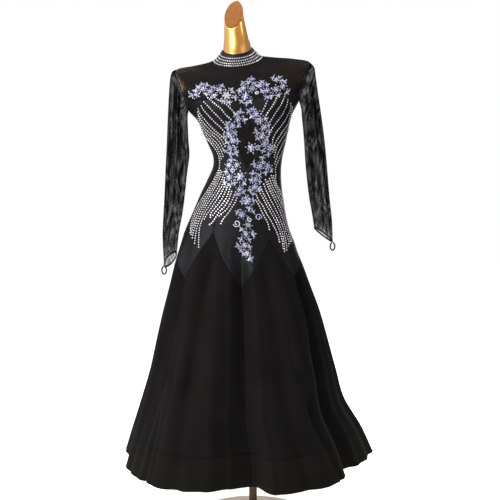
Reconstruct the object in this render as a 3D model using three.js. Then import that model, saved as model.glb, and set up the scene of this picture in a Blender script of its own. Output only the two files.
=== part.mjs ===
// A long-sleeved ballroom dress with six godets, worn by a limbless dress form on a stand.
// Millimetres, +Z up, the front faces -Y. The origin is the middle of the stand's underside.

import * as THREE from "three";
import { mergeVertices } from "three/addons/utils/BufferGeometryUtils.js";

const RAD = Math.PI / 180;

// ---- Driving dimensions ----

const SEAM = 0.3; // clear gap between pieces that are sewn together
const STRETCH_CLOTH = 1.2; // body panels
const SHEER_CLOTH = 1.0; // yokes, sleeves and keyhole
const SKIRT_CLOTH = 1.4; // godets
const HEM_BRAID = 2.2; // stiffened band round the hem
const COLLAR_BAND = 2.0;
const LACE = 1.0;
const LACE_LIFT = 0.9; // height of the lace's underside over the panel's outer face

const GORES = 6;
const GORE_HALF = 180 / GORES; // degrees either side of a gore's middle
const HIP_TURN = 2.4; // degrees that the gores are turned towards the dress's left

const EASE_BODY = 3.5; // clearance between the form and the cloth
const EASE_NECK = 0.75;
const SHOULDER_DROP = 3; // how far the form's shoulders lie under the cloth's shoulder seams

const HEM_FOLD_START = 940; // height where the skirt's folds begin
const HEM_HEIGHT = 200;
const FOLD_PEAK = 0.22; // share of that fall where the gores' points draw the cloth in most

const POLE_RADIUS = 13;
const BASE_RADIUS = 190;
const BASE_THICKNESS = 8;
const FORM_BOTTOM = 835;
const SOCKET_RADIUS = 26;
const SOCKET_LENGTH = 48;

const table = (names, rows) =>
  rows.map((row) => Object.fromEntries(names.split(" ").map((name, i) => [name, row[i]])));

// The dress's outer face, one row for each level from the hem up. x and y are the section's
// middle, width is half of it from side to side, roll lifts the +X side and pitch drops the front.
const SECTIONS = table("z x y width front back roll pitch", [
  [HEM_HEIGHT, -17, 8, 412, 400, 410, 0, 0], // 0 hem
  [290, -24, 7, 380, 362, 375, 0, 0], // 1 top of the hem band
  [390, -37, 6, 336, 325, 336, 0, 0],
  [490, -36, 5, 309, 288, 299, 0, 0],
  [590, -38, 4, 286, 249, 262, 0, 0],
  [690, -40, 3, 262, 211, 224, 0, 0],
  [780, -45, 2, 236, 176, 190, 0, 0], // 6 points of the gores
  [850, -46, 0, 215, 150, 162, -2, 0],
  [902, -46, -1, 195, 131, 140, -4, 0],
  [948, -44, -2, 178, 119, 126, -6, 0], // 9 tops of the godets
  [986, -43, -3, 162, 113, 120, -7, 0],
  [1025, -40, -3, 149, 107, 113, -7, 0],
  [1070, -35, -3, 136, 99, 104, -6, 0],
  [1117, -28, -2, 122, 90, 93, -5, 0],
  [1163, -20, 0, 112, 83, 84, -3.5, 0], // 14 waist
  [1202, -18, 1, 114, 84, 84, -2, 0],
  [1245, -21, 2, 127, 92, 89, 0, 0],
  [1288, -25, 3, 141, 100, 94, 1.5, 0],
  [1330, -28, 4, 155, 106, 97, 3, 0], // 18 under the bust line
  [1370, -30.5, 6, 181, 106, 98, 5, 0], // 19 armpits
  [1405, -31, 8, 190, 102, 99, 4.6, 6],
  [1440, -32, 10, 199, 95, 98, 4.2, 13],
  [1474, -33, 13, 209, 86, 92, 3.7, 20],
  [1502, -34, 15, 219, 78, 82, 3.3, 25], // 23 shoulder points
  [1513, -31, 14, 166, 72, 72, 4, 27],
  [1520, -39, 12, 112, 66, 62, 4.6, 29],
  [1527, -50, 8, 78, 60, 54, 4.9, 30], // 26 neck seam
  [1540, -51, 2, 62, 52, 50, 5, 30],
  [1556, -51.5, -2, 48, 46, 46, 5, 30], // 28 top of the collar
]);

const LEVEL = {
  hem: 0,
  hemBand: 1,
  gorePoint: 6,
  godetTop: 9,
  keyholeBottom: 14,
  keyholeTop: 18,
  armpit: 19,
  shoulder: 23,
  neck: 26,
  collarTop: 28,
};

// The skirt's folds: how far each lies inside the outline at the hem, and how much further it
// lies inside at the height of the gores' points. Crests are negative.
const FOLDS = table("angle hem upper", [
  [-177.6, 62, 26],
  [-163, 2, 0],
  [-148, 20, 6],
  [-133, -8, 0],
  [-117.6, 58, 28],
  [-106, -29, 0],
  [-88, 17, 6],
  [-73, 0, 0],
  [-57.6, -4, 42],
  [-48, -13, 4],
  [-38, -20, -4],
  [-29, -10, 12],
  [-19, 12, -6],
  [-9, 54, 0],
  [2.4, 84, 26],
  [12, -6, 0],
  [24, 4, 8],
  [35, 3, -4],
  [45, 16, 6],
  [54, 36, -2],
  [62.4, 76, 46],
  [76, 38, 6],
  [88, 12, 6],
  [101, -24, 0],
  [112, 4, 6],
  [122.4, 62, 28],
  [136, -4, 0],
  [150, 22, 6],
  [165, -4, 0],
]);

const CUP = { angle: 33, z: 1352, height: 17, spreadAngle: 19, spreadZ: 44 };
const SHOULDER_SEAM_HALF = 0.2;
const KEYHOLE_HALF = 14; // degrees
const GODET_TIP = 0.25; // degrees, half of a godet's width at its top
const GORE_TIP = 0.4; // degrees, half of a gore's width at its point

// Where the seams lie round the body at the armpit level, counted like the godets.
const SEAM_ANGLES_AT_TOP = [34, 90, 150, 210, 270, 326];

// ---- The dress's outer face ----

const clamp = (value, low, high) => Math.min(high, Math.max(low, value));
const mix = (a, b, share) => a + (b - a) * share;

// A smooth curve through one column of a table, by row number.
function along(rows, key, position) {
  const last = rows.length - 1;
  const i = clamp(Math.floor(position), 0, last - 1);
  const f = clamp(position, 0, last) - i;
  const at = (n) => rows[clamp(n, 0, last)][key];
  const [a, b, c, d] = [at(i - 1), at(i), at(i + 1), at(i + 2)];
  return b + 0.5 * f * (c - a + f * (2 * a - 5 * b + 4 * c - d + f * (3 * (b - c) + d - a)));
}

const section = (level) =>
  Object.fromEntries(Object.keys(SECTIONS[0]).map((key) => [key, along(SECTIONS, key, level)]));

function foldDepth(angle, z) {
  const fall = clamp((HEM_FOLD_START - z) / (HEM_FOLD_START - HEM_HEIGHT), 0, 1);
  if (fall === 0) return 0;
  const turned = ((((angle - FOLDS[0].angle) % 360) + 360) % 360) + FOLDS[0].angle;
  let next = FOLDS.findIndex((fold) => fold.angle > turned);
  if (next < 0) next = FOLDS.length;
  const before = FOLDS[next - 1];
  const after = FOLDS[next % FOLDS.length];
  const end = next === FOLDS.length ? after.angle + 360 : after.angle;
  const share = (1 - Math.cos((Math.PI * (turned - before.angle)) / (end - before.angle))) / 2;
  const past = Math.max(0, fall - FOLD_PEAK) / (1 - FOLD_PEAK);
  const swell = Math.min(fall / FOLD_PEAK, 1 - past ** 1.5);
  const grown = (fold) => fold.hem * fall + fold.upper * swell;
  return mix(grown(before), grown(after), share);
}

const BACK_PITCH = 0.2; // share of a section's pitch that lifts its back half
const ARMHOLE = { half: 52, power: 0.75 }; // the opening in the cloth
const ARM_PLATE = { half: 44, power: 1.3 }; // the smaller oval at the form's shoulder

// Half of the depth of an armhole from front to back, zero below the armpit.
function depthOf({ half, power }, level) {
  if (level <= LEVEL.armpit) return 0;
  const share = clamp((level - LEVEL.armpit) / (LEVEL.shoulder - LEVEL.armpit), 0, 1);
  return Math.max(SHOULDER_SEAM_HALF, half * Math.sin(Math.PI * share) ** power);
}

const frontOrBack = (angle) => (Math.cos(angle * RAD) >= 0 ? -1 : 1);

// A point of the outer face. side is -1 on the front and 1 on the back, and matters where the
// front and back pieces end at the same angle.
function bodyPoint(angle, level, side = frontOrBack(angle), armhole = ARMHOLE) {
  const s = section(level);
  const hole = depthOf(armhole, level);
  const depth = side < 0 ? s.front : s.back;
  let x = s.width * Math.sin(angle * RAD);
  let y = side * hole - (depth - hole) * Math.cos(angle * RAD);
  const radius = Math.hypot(x, y);
  const kept = (radius - foldDepth(angle, s.z)) / radius;
  x *= kept;
  y *= kept;
  if (side < 0) {
    const away = (Math.abs(angle) - CUP.angle) / CUP.spreadAngle;
    const up = (s.z - CUP.z) / CUP.spreadZ;
    y -= CUP.height * Math.exp(-away * away - up * up);
  }
  const pitch = s.pitch * (y < 0 ? 1 : BACK_PITCH);
  const z = s.z + x * Math.tan(s.roll * RAD) + y * Math.tan(pitch * RAD);
  return new THREE.Vector3(s.x + x, s.y + y, z);
}

function bodyNormal(angle, level, side, armhole) {
  const [stepAngle, stepLevel] = [0.4, 0.02];
  const at = (a, l) => bodyPoint(a, l, side, armhole);
  const across = at(angle + stepAngle, level).sub(at(angle - stepAngle, level));
  const up = at(angle, level + stepLevel).sub(at(angle, level - stepLevel));
  return across.cross(up).normalize();
}

// ---- Closed walls from grids of points ----

// A wall between an outer and an inner grid of rows and columns. closed joins each row's ends.
function wall(outer, inner, closed = false) {
  const rows = outer.length;
  const columns = outer[0].length;
  const positions = [];
  for (const grid of [outer, inner])
    for (const row of grid) for (const p of row) positions.push(p.x, p.y, p.z);
  const index = [];
  const at = (layer, r, c) => layer * rows * columns + r * columns + (c % columns);
  const quad = (a, b, c, d) => index.push(a, b, c, a, c, d);
  const spans = closed ? columns : columns - 1;
  for (let r = 0; r < rows - 1; r++)
    for (let c = 0; c < spans; c++) {
      quad(at(0, r, c), at(0, r, c + 1), at(0, r + 1, c + 1), at(0, r + 1, c));
      quad(at(1, r, c), at(1, r + 1, c), at(1, r + 1, c + 1), at(1, r, c + 1));
    }
  for (let c = 0; c < spans; c++) {
    quad(at(0, 0, c), at(1, 0, c), at(1, 0, c + 1), at(0, 0, c + 1));
    quad(at(0, rows - 1, c), at(0, rows - 1, c + 1), at(1, rows - 1, c + 1), at(1, rows - 1, c));
  }
  if (!closed)
    for (let r = 0; r < rows - 1; r++) {
      quad(at(0, r, 0), at(0, r + 1, 0), at(1, r + 1, 0), at(1, r, 0));
      const e = columns - 1;
      quad(at(0, r, e), at(1, r, e), at(1, r + 1, e), at(0, r + 1, e));
    }
  const geometry = new THREE.BufferGeometry();
  geometry.setAttribute("position", new THREE.Float32BufferAttribute(positions, 3));
  geometry.setIndex(index);
  geometry.computeVertexNormals();
  return geometry;
}

// A solid from a stack of rings, closed with a flat fan at each end.
function stack(rings) {
  const count = rings[0].length;
  const positions = [];
  for (const ring of rings) for (const p of ring) positions.push(p.x, p.y, p.z);
  const middles = [rings[0], rings[rings.length - 1]].map((ring) =>
    ring.reduce((sum, p) => sum.add(p), new THREE.Vector3()).divideScalar(count),
  );
  for (const p of middles) positions.push(p.x, p.y, p.z);
  const bottom = rings.length * count;
  const top = bottom + 1;
  const index = [];
  for (let c = 0; c < count; c++) {
    const n = (c + 1) % count;
    for (let r = 0; r < rings.length - 1; r++) {
      const [a, b] = [r * count, (r + 1) * count];
      index.push(a + c, a + n, b + n, a + c, b + n, b + c);
    }
    index.push(bottom, n, c);
    index.push(top, (rings.length - 1) * count + c, (rings.length - 1) * count + n);
  }
  const geometry = new THREE.BufferGeometry();
  geometry.setAttribute("position", new THREE.Float32BufferAttribute(positions, 3));
  geometry.setIndex(index);
  return mergeVertices(geometry);
}

// A panel of the dress. place(row, column) gives the angle and level of each grid point.
function panel({ rows, columns, place, thickness, side }) {
  const outer = [];
  const inner = [];
  for (let r = 0; r <= rows; r++) {
    outer.push([]);
    inner.push([]);
    for (let c = 0; c <= columns; c++) {
      const { angle, level } = place(r, c);
      const point = bodyPoint(angle, level, side);
      outer[r].push(point);
      inner[r].push(point.clone().addScaledVector(bodyNormal(angle, level, side), -thickness));
    }
  }
  return wall(outer, inner);
}

// ---- Materials ----

const cloth = (color, roughness, opacity = 1) =>
  new THREE.MeshStandardMaterial({
    color,
    roughness,
    opacity,
    transparent: opacity < 1,
    side: THREE.DoubleSide,
  });
const STRETCH = cloth(0x2b2b31, 0.55);
const SHEER = cloth(0x1c1a1a, 0.7, 0.75);
const CREPE = cloth(0x201e1f, 0.85);
const BRAID = cloth(0x242223, 0.75);
const ELASTIC = cloth(0x101012, 0.6);
const STUDDED = cloth(0x8f8c96, 0.35);
const LACE_BLUE = cloth(0x8f93c4, 0.5);
const GOLD = new THREE.MeshStandardMaterial({ color: 0xc98a35, roughness: 0.3, metalness: 0.75 });
const STEEL = new THREE.MeshStandardMaterial({ color: 0x2c2322, roughness: 0.35, metalness: 0.9 });

const model = new THREE.Group();

function add(name, geometry, material) {
  const mesh = new THREE.Mesh(geometry, material);
  mesh.name = name;
  model.add(mesh);
}

// ---- Seams ----

// Half of the seam's gap as an angle, where the section is narrowest.
function gapAngle(level) {
  const s = section(level);
  return SEAM / 2 / Math.min(s.width, s.front, s.back) / RAD;
}

const GAP_LEVEL = 0.005; // half of the gap above or below a seam, in levels

// The angle of seam k, which runs up from the top of a godet.
function seamAngle(k, level) {
  const turn = Math.floor(k / GORES) * 360;
  const atHip = HIP_TURN + GORE_HALF + 2 * GORE_HALF * k;
  const atTop = SEAM_ANGLES_AT_TOP[((k % GORES) + GORES) % GORES] + turn;
  const share = clamp((level - LEVEL.godetTop) / (LEVEL.armpit - LEVEL.godetTop), 0, 1);
  return mix(atHip, atTop, share);
}

// Half of a gore's angle between its point and the tops of the godets beside it.
function goreHalf(level) {
  if (level < LEVEL.gorePoint) return 0;
  if (level > LEVEL.godetTop) return GORE_HALF;
  const [low, high] = [LEVEL.gorePoint, LEVEL.godetTop].map((l) => section(l).z);
  const share = (section(level).z - low) / (high - low);
  return clamp(share * GORE_HALF, GORE_TIP, GORE_HALF - GODET_TIP);
}

// The right or left edge of gore c at a level. direction is 1 for its +angle edge.
function goreEdge(c, level, direction) {
  const gap = gapAngle(level);
  if (level > LEVEL.godetTop) {
    return seamAngle(direction > 0 ? c : c - 1, level) - direction * gap;
  }
  return HIP_TURN + 2 * GORE_HALF * c + direction * (goreHalf(level) - gap);
}

// The middle line of the front or back gore.
function middleAngle(c, level) {
  const share = clamp((level - LEVEL.godetTop) / (LEVEL.armpit - LEVEL.godetTop), 0, 1);
  return mix(HIP_TURN, 0, share) + 2 * GORE_HALF * c;
}

function keyholeHalf(level) {
  const span = LEVEL.keyholeTop - LEVEL.keyholeBottom;
  const share = (level - LEVEL.keyholeBottom) / span;
  if (share < 0 || share > 1) return 0;
  return Math.max(GORE_TIP, KEYHOLE_HALF * Math.sin(Math.PI * share) ** 0.7);
}

// Where the opaque body panels end and the sheer yoke begins.
function necklineLevel(angle) {
  const wrapped = Math.abs(((((angle + 180) % 360) + 360) % 360) - 180);
  const isFront = wrapped <= 90;
  const share = (isFront ? wrapped : 180 - wrapped) / 90;
  const rise = Math.max(0, Math.sin(Math.PI * share)) ** 1.5;
  const dip = (1 - share) ** 6;
  return isFront ? LEVEL.armpit + 0.8 * rise - 0.12 * dip : LEVEL.armpit + 0.45 * rise;
}

// ---- Body panels: eight gores, each down to a point between two godets ----

const GORE_LEVELS = [6, 7, 8, 9, 10, 11, 12, 13, 14, 14.5, 15, 15.5, 16, 16.5, 17, 17.5, 18];
const NECKLINE_ROWS = 3; // rows from the last of those levels up to the neckline
const GORE_ROWS = GORE_LEVELS.length - 1 + NECKLINE_ROWS;
const WHOLE = 4; // columns across a side gore
const HALF = 3; // columns across half of the front or back gore

// The angle and level of a gore's grid point. part says which half of a front or back gore.
function goreAt(c, part, row, column) {
  const above = row - GORE_LEVELS.length + 1;
  const level = GORE_LEVELS[Math.min(row, GORE_LEVELS.length - 1)];
  const edgeLevel = above > 0 ? LEVEL.armpit : level;
  const open = c === 0 && above <= 0 ? keyholeHalf(level) : 0;
  const inner = (direction) =>
    middleAngle(c, edgeLevel) + direction * (open + gapAngle(edgeLevel));
  const outer = (direction) =>
    part && row === 0 ? inner(direction) + direction * GORE_TIP : goreEdge(c, edgeLevel, direction);
  const from = part === "plus" ? inner(1) : outer(-1);
  const to = part === "minus" ? inner(-1) : outer(1);
  const angle = mix(from, to, column / (part ? HALF : WHOLE));
  const share = Math.max(0, above) / NECKLINE_ROWS;
  const seam = row === 0 ? level + GAP_LEVEL : necklineLevel(angle) - GAP_LEVEL;
  return { angle, level: row === 0 ? seam : mix(level, seam, share) };
}

function gore(c, part) {
  return panel({
    rows: GORE_ROWS,
    columns: part ? HALF : WHOLE,
    thickness: STRETCH_CLOTH,
    place: (row, column) => goreAt(c, part, row, column),
  });
}

add("front_left", gore(0, "minus"), STRETCH);
add("front_right", gore(0, "plus"), STRETCH);
add("side_front_left", gore(-1), STRETCH);
add("side_front_right", gore(1), STRETCH);
add("side_back_left", gore(-2), STRETCH);
add("side_back_right", gore(2), STRETCH);
add("back_left", gore(3, "plus"), STRETCH);
add("back_right", gore(3, "minus"), STRETCH);

// ---- Sheer keyhole insert in the middle of the front ----

const KEYHOLE_STEPS = 2 * (LEVEL.keyholeTop - LEVEL.keyholeBottom);
add(
  "keyhole_insert",
  panel({
    rows: KEYHOLE_STEPS,
    columns: 2,
    thickness: SHEER_CLOTH,
    place(r, column) {
      const level = LEVEL.keyholeBottom + r / 2;
      const half = keyholeHalf(level) - gapAngle(level);
      return { angle: middleAngle(0, level) + mix(-half, half, column / 2), level };
    },
  }),
  SHEER,
);

// ---- Sheer yokes, from the neckline over the shoulders to the neck seam ----

const ARMHOLE_STEPS = 6; // rows of a yoke between the armpit and the shoulder point
const risen = (step) => (1 - Math.cos((Math.PI * step) / ARMHOLE_STEPS)) / 2;

// Evenly spaced angles for the columns between each seam and the next, as on the body panels.
function necklineAngles(seams, columns) {
  const angles = seams.slice(1).flatMap((to, n) => {
    const steps = Array.from({ length: columns[n] }, (_, i) => i / columns[n]);
    return steps.map((share) => mix(seams[n], to, share));
  });
  return [...angles, seams[seams.length - 1]];
}

const [FRONT_SEAM, SIDE_SEAM, BACK_SEAM] = SEAM_ANGLES_AT_TOP;
const COLUMN_COUNTS = [WHOLE, HALF, HALF, WHOLE];
const FRONT_ANGLES = necklineAngles(
  [-SIDE_SEAM, -FRONT_SEAM, 0, FRONT_SEAM, SIDE_SEAM],
  COLUMN_COUNTS,
);
const BACK_ANGLES = necklineAngles(
  [SIDE_SEAM, BACK_SEAM, 180, 360 - BACK_SEAM, 360 - SIDE_SEAM],
  COLUMN_COUNTS,
);
const YOKE_ROWS = ARMHOLE_STEPS + LEVEL.neck - LEVEL.shoulder;

function yokeAt(angle, row) {
  const bottom = necklineLevel(angle) + GAP_LEVEL;
  if (row <= ARMHOLE_STEPS) return { angle, level: mix(bottom, LEVEL.shoulder, risen(row)) };
  const level = LEVEL.shoulder + row - ARMHOLE_STEPS;
  return { angle, level: row === YOKE_ROWS ? level - GAP_LEVEL : level };
}

function yoke(angles, side) {
  return panel({
    rows: YOKE_ROWS,
    columns: angles.length - 1,
    thickness: SHEER_CLOTH,
    side,
    place: (row, column) => yokeAt(angles[column], row),
  });
}

add("yoke_front", yoke(FRONT_ANGLES, -1), SHEER);
add("yoke_back", yoke(BACK_ANGLES, 1), SHEER);

// ---- Stand collar ----

const RING_POINTS = 32; // points round the form, and every other one of them on the collar
const RING_ANGLES = Array.from({ length: RING_POINTS }, (_, i) => (360 * i) / RING_POINTS - 90);

const COLLAR_LEVELS = [LEVEL.neck, LEVEL.neck + 0.5, LEVEL.neck + 1, LEVEL.collarTop];

function collar() {
  const levels = COLLAR_LEVELS.map((level, i) => (i ? level : level + 4 * GAP_LEVEL));
  const grid = (depth) =>
    levels.map((level) =>
      RING_ANGLES.map((angle) =>
        bodyPoint(angle, level).addScaledVector(bodyNormal(angle, level), -depth),
      ),
    );
  return wall(grid(0), grid(COLLAR_BAND), true);
}

add("collar", collar(), STUDDED);

// ---- Godets and the stiff band below each ----

const GODET_COLUMNS = 12;
const GODET_LEVELS = [1, 2, 3, 4, 5, 6, 7, 8, 9];

function godetAngle(k, level, share) {
  const half = GORE_HALF - (level < LEVEL.gorePoint ? 0 : goreHalf(level)) - gapAngle(level);
  const narrowest = Math.max(half, GODET_TIP / 2);
  return seamAngle(k, LEVEL.godetTop) + mix(-narrowest, narrowest, share);
}

const GODET_NAMES = ["front_right", "side_right", "back_right", "back_left", "side_left", "front_left"];
GODET_NAMES.forEach((name, k) => {
  add(
    `godet_${name}`,
    panel({
      rows: GODET_LEVELS.length - 1,
      columns: GODET_COLUMNS,
      thickness: SKIRT_CLOTH,
      place(r, column) {
        const level = GODET_LEVELS[r] + (r ? 0 : GAP_LEVEL / 2);
        return { angle: godetAngle(k, level, column / GODET_COLUMNS), level };
      },
    }),
    CREPE,
  );
  add(
    `hem_band_${name}`,
    panel({
      rows: 1,
      columns: GODET_COLUMNS,
      thickness: HEM_BRAID,
      place(r, column) {
        const level = r * (LEVEL.hemBand - GAP_LEVEL / 2);
        return { angle: godetAngle(k, level, column / GODET_COLUMNS), level };
      },
    }),
    BRAID,
  );
});

// ---- Sleeves ----

// One row for each ring below the armhole: the points nearest and furthest from the body, half
// of the ring's depth from front to back, its middle, and how much the front edge is raised.
const SLEEVE_LEFT = table("innerX innerZ outerX outerZ half y raise", [
  [-215, 1344, -266, 1481, 47, 12, 0],
  [-216, 1328, -273, 1456, 46, 12, 0],
  [-215, 1298, -277, 1404, 46, 11, 0],
  [-213, 1255, -281, 1328, 44, 10, 0],
  [-210, 1209, -285, 1235, 42, 8, 0],
  [-218, 1146, -289, 1156, 39, 6, 0],
  [-225, 1080, -292, 1084, 36, 4, 0],
  [-233, 1018, -296, 1014, 34, 2, 0],
  [-245, 955, -299, 943, 31, 0, 4],
  [-252, 889, -295, 850, 28, -2, 16],
]);
const SLEEVE_RIGHT = table("innerX innerZ outerX outerZ half y raise", [
  [155, 1376, 201, 1496, 47, 12, 0],
  [159, 1359, 206, 1466, 46, 12, 0],
  [161, 1333, 214, 1410, 46, 11, 0],
  [165, 1295, 224, 1344, 44, 10, 0],
  [169, 1242, 235, 1262, 42, 8, 0],
  [173, 1179, 243, 1183, 39, 6, 0],
  [179, 1117, 249, 1110, 36, 4, 0],
  [186, 1064, 255, 1047, 34, 2, 0],
  [195, 1014, 261, 991, 31, 0, 2],
  [201, 975, 263, 929, 28, -2, 5],
]);

const SLEEVE_POINTS = 2 * ARMHOLE_STEPS;

// A ring of a sleeve, from the armpit side over the front to the outside and back.
function sleeveRing({ innerX, innerZ, outerX, outerZ, half, y, raise }) {
  return Array.from({ length: SLEEVE_POINTS }, (_, i) => {
    const turn = (2 * Math.PI * i) / SLEEVE_POINTS;
    const share = (1 - Math.cos(turn)) / 2;
    return new THREE.Vector3(
      mix(innerX, outerX, share),
      y - half * Math.sin(turn),
      mix(innerZ, outerZ, share) + raise * Math.sin(turn),
    );
  });
}

// The armhole's edge, moved out of the yokes by the seam's gap.
function armholeRing(direction) {
  return Array.from({ length: SLEEVE_POINTS }, (_, i) => {
    const step = Math.min(i, SLEEVE_POINTS - i);
    const level = mix(LEVEL.armpit + GAP_LEVEL, LEVEL.shoulder, risen(step));
    const point = bodyPoint(90 * direction, level, i <= ARMHOLE_STEPS ? -1 : 1);
    return point.add(new THREE.Vector3(direction * SEAM, 0, 0));
  });
}

const middleOf = (ring) =>
  ring.reduce((sum, p) => sum.add(p), new THREE.Vector3()).divideScalar(ring.length);

// The same ring, moved towards its own middle.
function shrunk(ring, distance) {
  const middle = middleOf(ring);
  return ring.map((p) => {
    const inwards = middle.clone().sub(p);
    return p.clone().addScaledVector(inwards, distance / inwards.length());
  });
}

function tube(rings, thickness, direction) {
  const ordered = direction < 0 ? rings.map((ring) => [...ring].reverse()) : rings;
  const upwards = [...ordered].reverse();
  return wall(
    upwards,
    upwards.map((ring) => shrunk(ring, thickness)),
    true,
  );
}

const CUFF_BINDING = 2;
const CUFF_WIDTH = 7;
const LOOP_RADIUS = 0.9;
const LOOP = { drop: 26, half: 8, rise: 0.3 };

function sleeve(name, rows, direction) {
  const rings = [armholeRing(direction), ...rows.map(sleeveRing)];
  add(`sleeve_${name}`, tube(rings, SHEER_CLOTH, direction), SHEER);

  const last = rings[rings.length - 1];
  const along = middleOf(last).sub(middleOf(rings[rings.length - 2])).normalize();
  const moved = (distance) => last.map((p) => p.clone().addScaledVector(along, distance));
  const binding = [moved(SEAM), moved(CUFF_WIDTH / 2), moved(CUFF_WIDTH)];
  add(`cuff_${name}`, tube(binding, CUFF_BINDING, direction), ELASTIC);

  // A loop of round elastic for the middle finger, hanging from the cuff's lowest point.
  const lowest = binding[2][SLEEVE_POINTS / 2];
  const inwards = middleOf(binding[2]).sub(lowest).normalize();
  const top = lowest.clone().addScaledVector(inwards, CUFF_BINDING / 2);
  const route = [
    [-0.25, 0],
    [-0.9, 0.35],
    [-0.75, 0.8],
    [0, 1],
    [0.75, 0.8],
    [0.9, 0.35],
    [0.25, 0],
  ].map(
    ([across, down]) =>
      new THREE.Vector3(
        top.x + across * LOOP.half,
        top.y,
        top.z - LOOP_RADIUS + LOOP.rise - down * LOOP.drop,
      ),
  );
  const circle = new THREE.Shape().absarc(0, 0, LOOP_RADIUS, 0, 2 * Math.PI);
  const loop = new THREE.ExtrudeGeometry(circle, {
    steps: 14,
    curveSegments: 3,
    extrudePath: new THREE.CatmullRomCurve3(route),
  });
  add(`finger_loop_${name}`, loop, ELASTIC);
}

sleeve("left", SLEEVE_LEFT, -1);
sleeve("right", SLEEVE_RIGHT, 1);

// ---- Lace sewn on the front, made from the points of the panels under it ----

const frontPanels = [
  [-1, undefined],
  [0, "minus"],
  [0, "plus"],
  [1, undefined],
];

// The front panels' grid points in one row, from side seam to side seam.
const frontRow = (row) =>
  frontPanels.flatMap(([c, part]) =>
    Array.from({ length: (part ? HALF : WHOLE) + 1 }, (_, i) => goreAt(c, part, row, i)),
  );

const faceAt = ({ angle, level }, side) => ({
  point: bodyPoint(angle, level, side),
  normal: bodyNormal(angle, level, side),
});

const between = (a, b, share) => ({
  point: a.point.clone().lerp(b.point, share),
  normal: a.normal.clone().lerp(b.normal, share).normalize(),
});

function laceWall(faces) {
  const moved = (distance) =>
    faces.map((row) => row.map(({ point, normal }) => point.clone().addScaledVector(normal, distance)));
  return wall(moved(LACE_LIFT + LACE), moved(LACE_LIFT));
}

// Garlands along the neckline: for each of the yoke's columns from the first one named, how far
// the lace reaches down the panels' top row and how far up the yoke's second row.
const GARLANDS = {
  lace_neckline_left: {
    start: 2,
    reach: table("down up", [
      [0.35, 0.3],
      [0.45, 0.5],
      [0.6, 0.6],
      [0.7, 0.5],
      [0.75, 0.45],
      [0.45, 0.3],
    ]),
  },
  lace_neckline_right: {
    start: 8,
    reach: table("down up", [
      [0.5, 0.6],
      [0.8, 0.9],
      [0.4, 0.15],
      [0.15, 0.05],
    ]),
  },
};

for (const [name, { start, reach }] of Object.entries(GARLANDS)) {
  const columns = reach.map(({ down, up }, i) => {
    const angle = FRONT_ANGLES[start + i];
    const seam = yokeAt(angle, 0);
    const below = { angle, level: mix(seam.level, LEVEL.keyholeTop, 1 / NECKLINE_ROWS) };
    const neckline = faceAt(seam);
    const [first, second] = [1, 2].map((row) => faceAt(yokeAt(angle, row)));
    return [between(neckline, faceAt(below), down), neckline, first, between(first, second, up)];
  });
  const rows = columns[0].map((_, r) => columns.map((column) => column[r]));
  add(name, laceWall(rows), LACE_BLUE);
}

// Lace that runs down the front: one row for each row of the panels from a level up. Its sides lie
// left and right of the two columns given, by a share of the next column's distance.
const [FRONT_LEFT, FRONT_RIGHT] = [WHOLE + 1, WHOLE + HALF + 2]; // first column of each
const RUNS = {
  lace_column_left: {
    from: 11,
    columns: [FRONT_LEFT + 1, FRONT_LEFT + 2],
    rows: table("left right", [
      [0.1, 0.6],
      [0.3, 0.8],
      [0.5, 0.7],
      [0.7, 0.6],
      [0.8, 0.6],
      [0.7, 0.7],
      [0.6, 0.7],
      [0.7, 0.8],
      [0.7, 0.8],
      [0.5, 0.7],
      [0.3, 0.6],
    ]),
  },
  lace_column_right: {
    from: 11,
    columns: [FRONT_RIGHT + 1, FRONT_RIGHT + 2],
    rows: table("left right", [
      [0.3, 0.1],
      [0.6, 0.3],
      [0.8, 0.6],
      [0.7, 0.8],
      [0.6, 0.9],
      [0.6, 0.8],
      [0.7, 0.6],
      [0.7, 0.7],
      [0.8, 0.6],
      [0.7, 0.4],
      [0.6, 0.2],
    ]),
  },
  lace_tail: {
    from: 9,
    columns: [FRONT_LEFT + 2, FRONT_RIGHT + 1],
    rows: table("left right", [
      [0.1, 0.1],
      [0.4, 0.3],
    ]),
  },
};

for (const [name, { from, columns, rows }] of Object.entries(RUNS)) {
  const first = GORE_LEVELS.indexOf(from);
  const [low, high] = columns;
  const faces = rows.map(({ left, right }, r) => {
    const row = frontRow(first + r).map((place) => faceAt(place));
    const leftSide = between(row[low], row[low - 1], left);
    const rightSide = between(row[high], row[high + 1], right);
    return [leftSide, ...row.slice(low, high + 1), rightSide];
  });
  add(name, laceWall(faces), LACE_BLUE);
}

// ---- Dress form: torso and neck in one, armless, cut off below the hips ----

// The neck above the collar. Its top is cut on a slope that faces the front and a little left.
const NECK = table("z x y half", [
  [1556, -51.5, -2, 45.2],
  [1575, -54, -3, 40.5],
  [1600, -57.5, -6, 36.5],
  [1635, -61, -9, 33],
  [1675, -64, -11, 31.2],
  [1714, -65.5, -12, 30],
]);
const NECK_CUT = { z: 1663.4, slope: 1.7, toLeft: 0.35, toFront: 0.94 };
const FORM_BASE = table("z x y width front back", [
  [FORM_BOTTOM, -40, 0, 146, 90, 98],
  [865, -42, 0, 157, 96, 105],
  [905, -43, -1, 165, 102, 112],
]);
const ARM_PLATE_HALF = 3; // half of the flat at the form's sides

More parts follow.
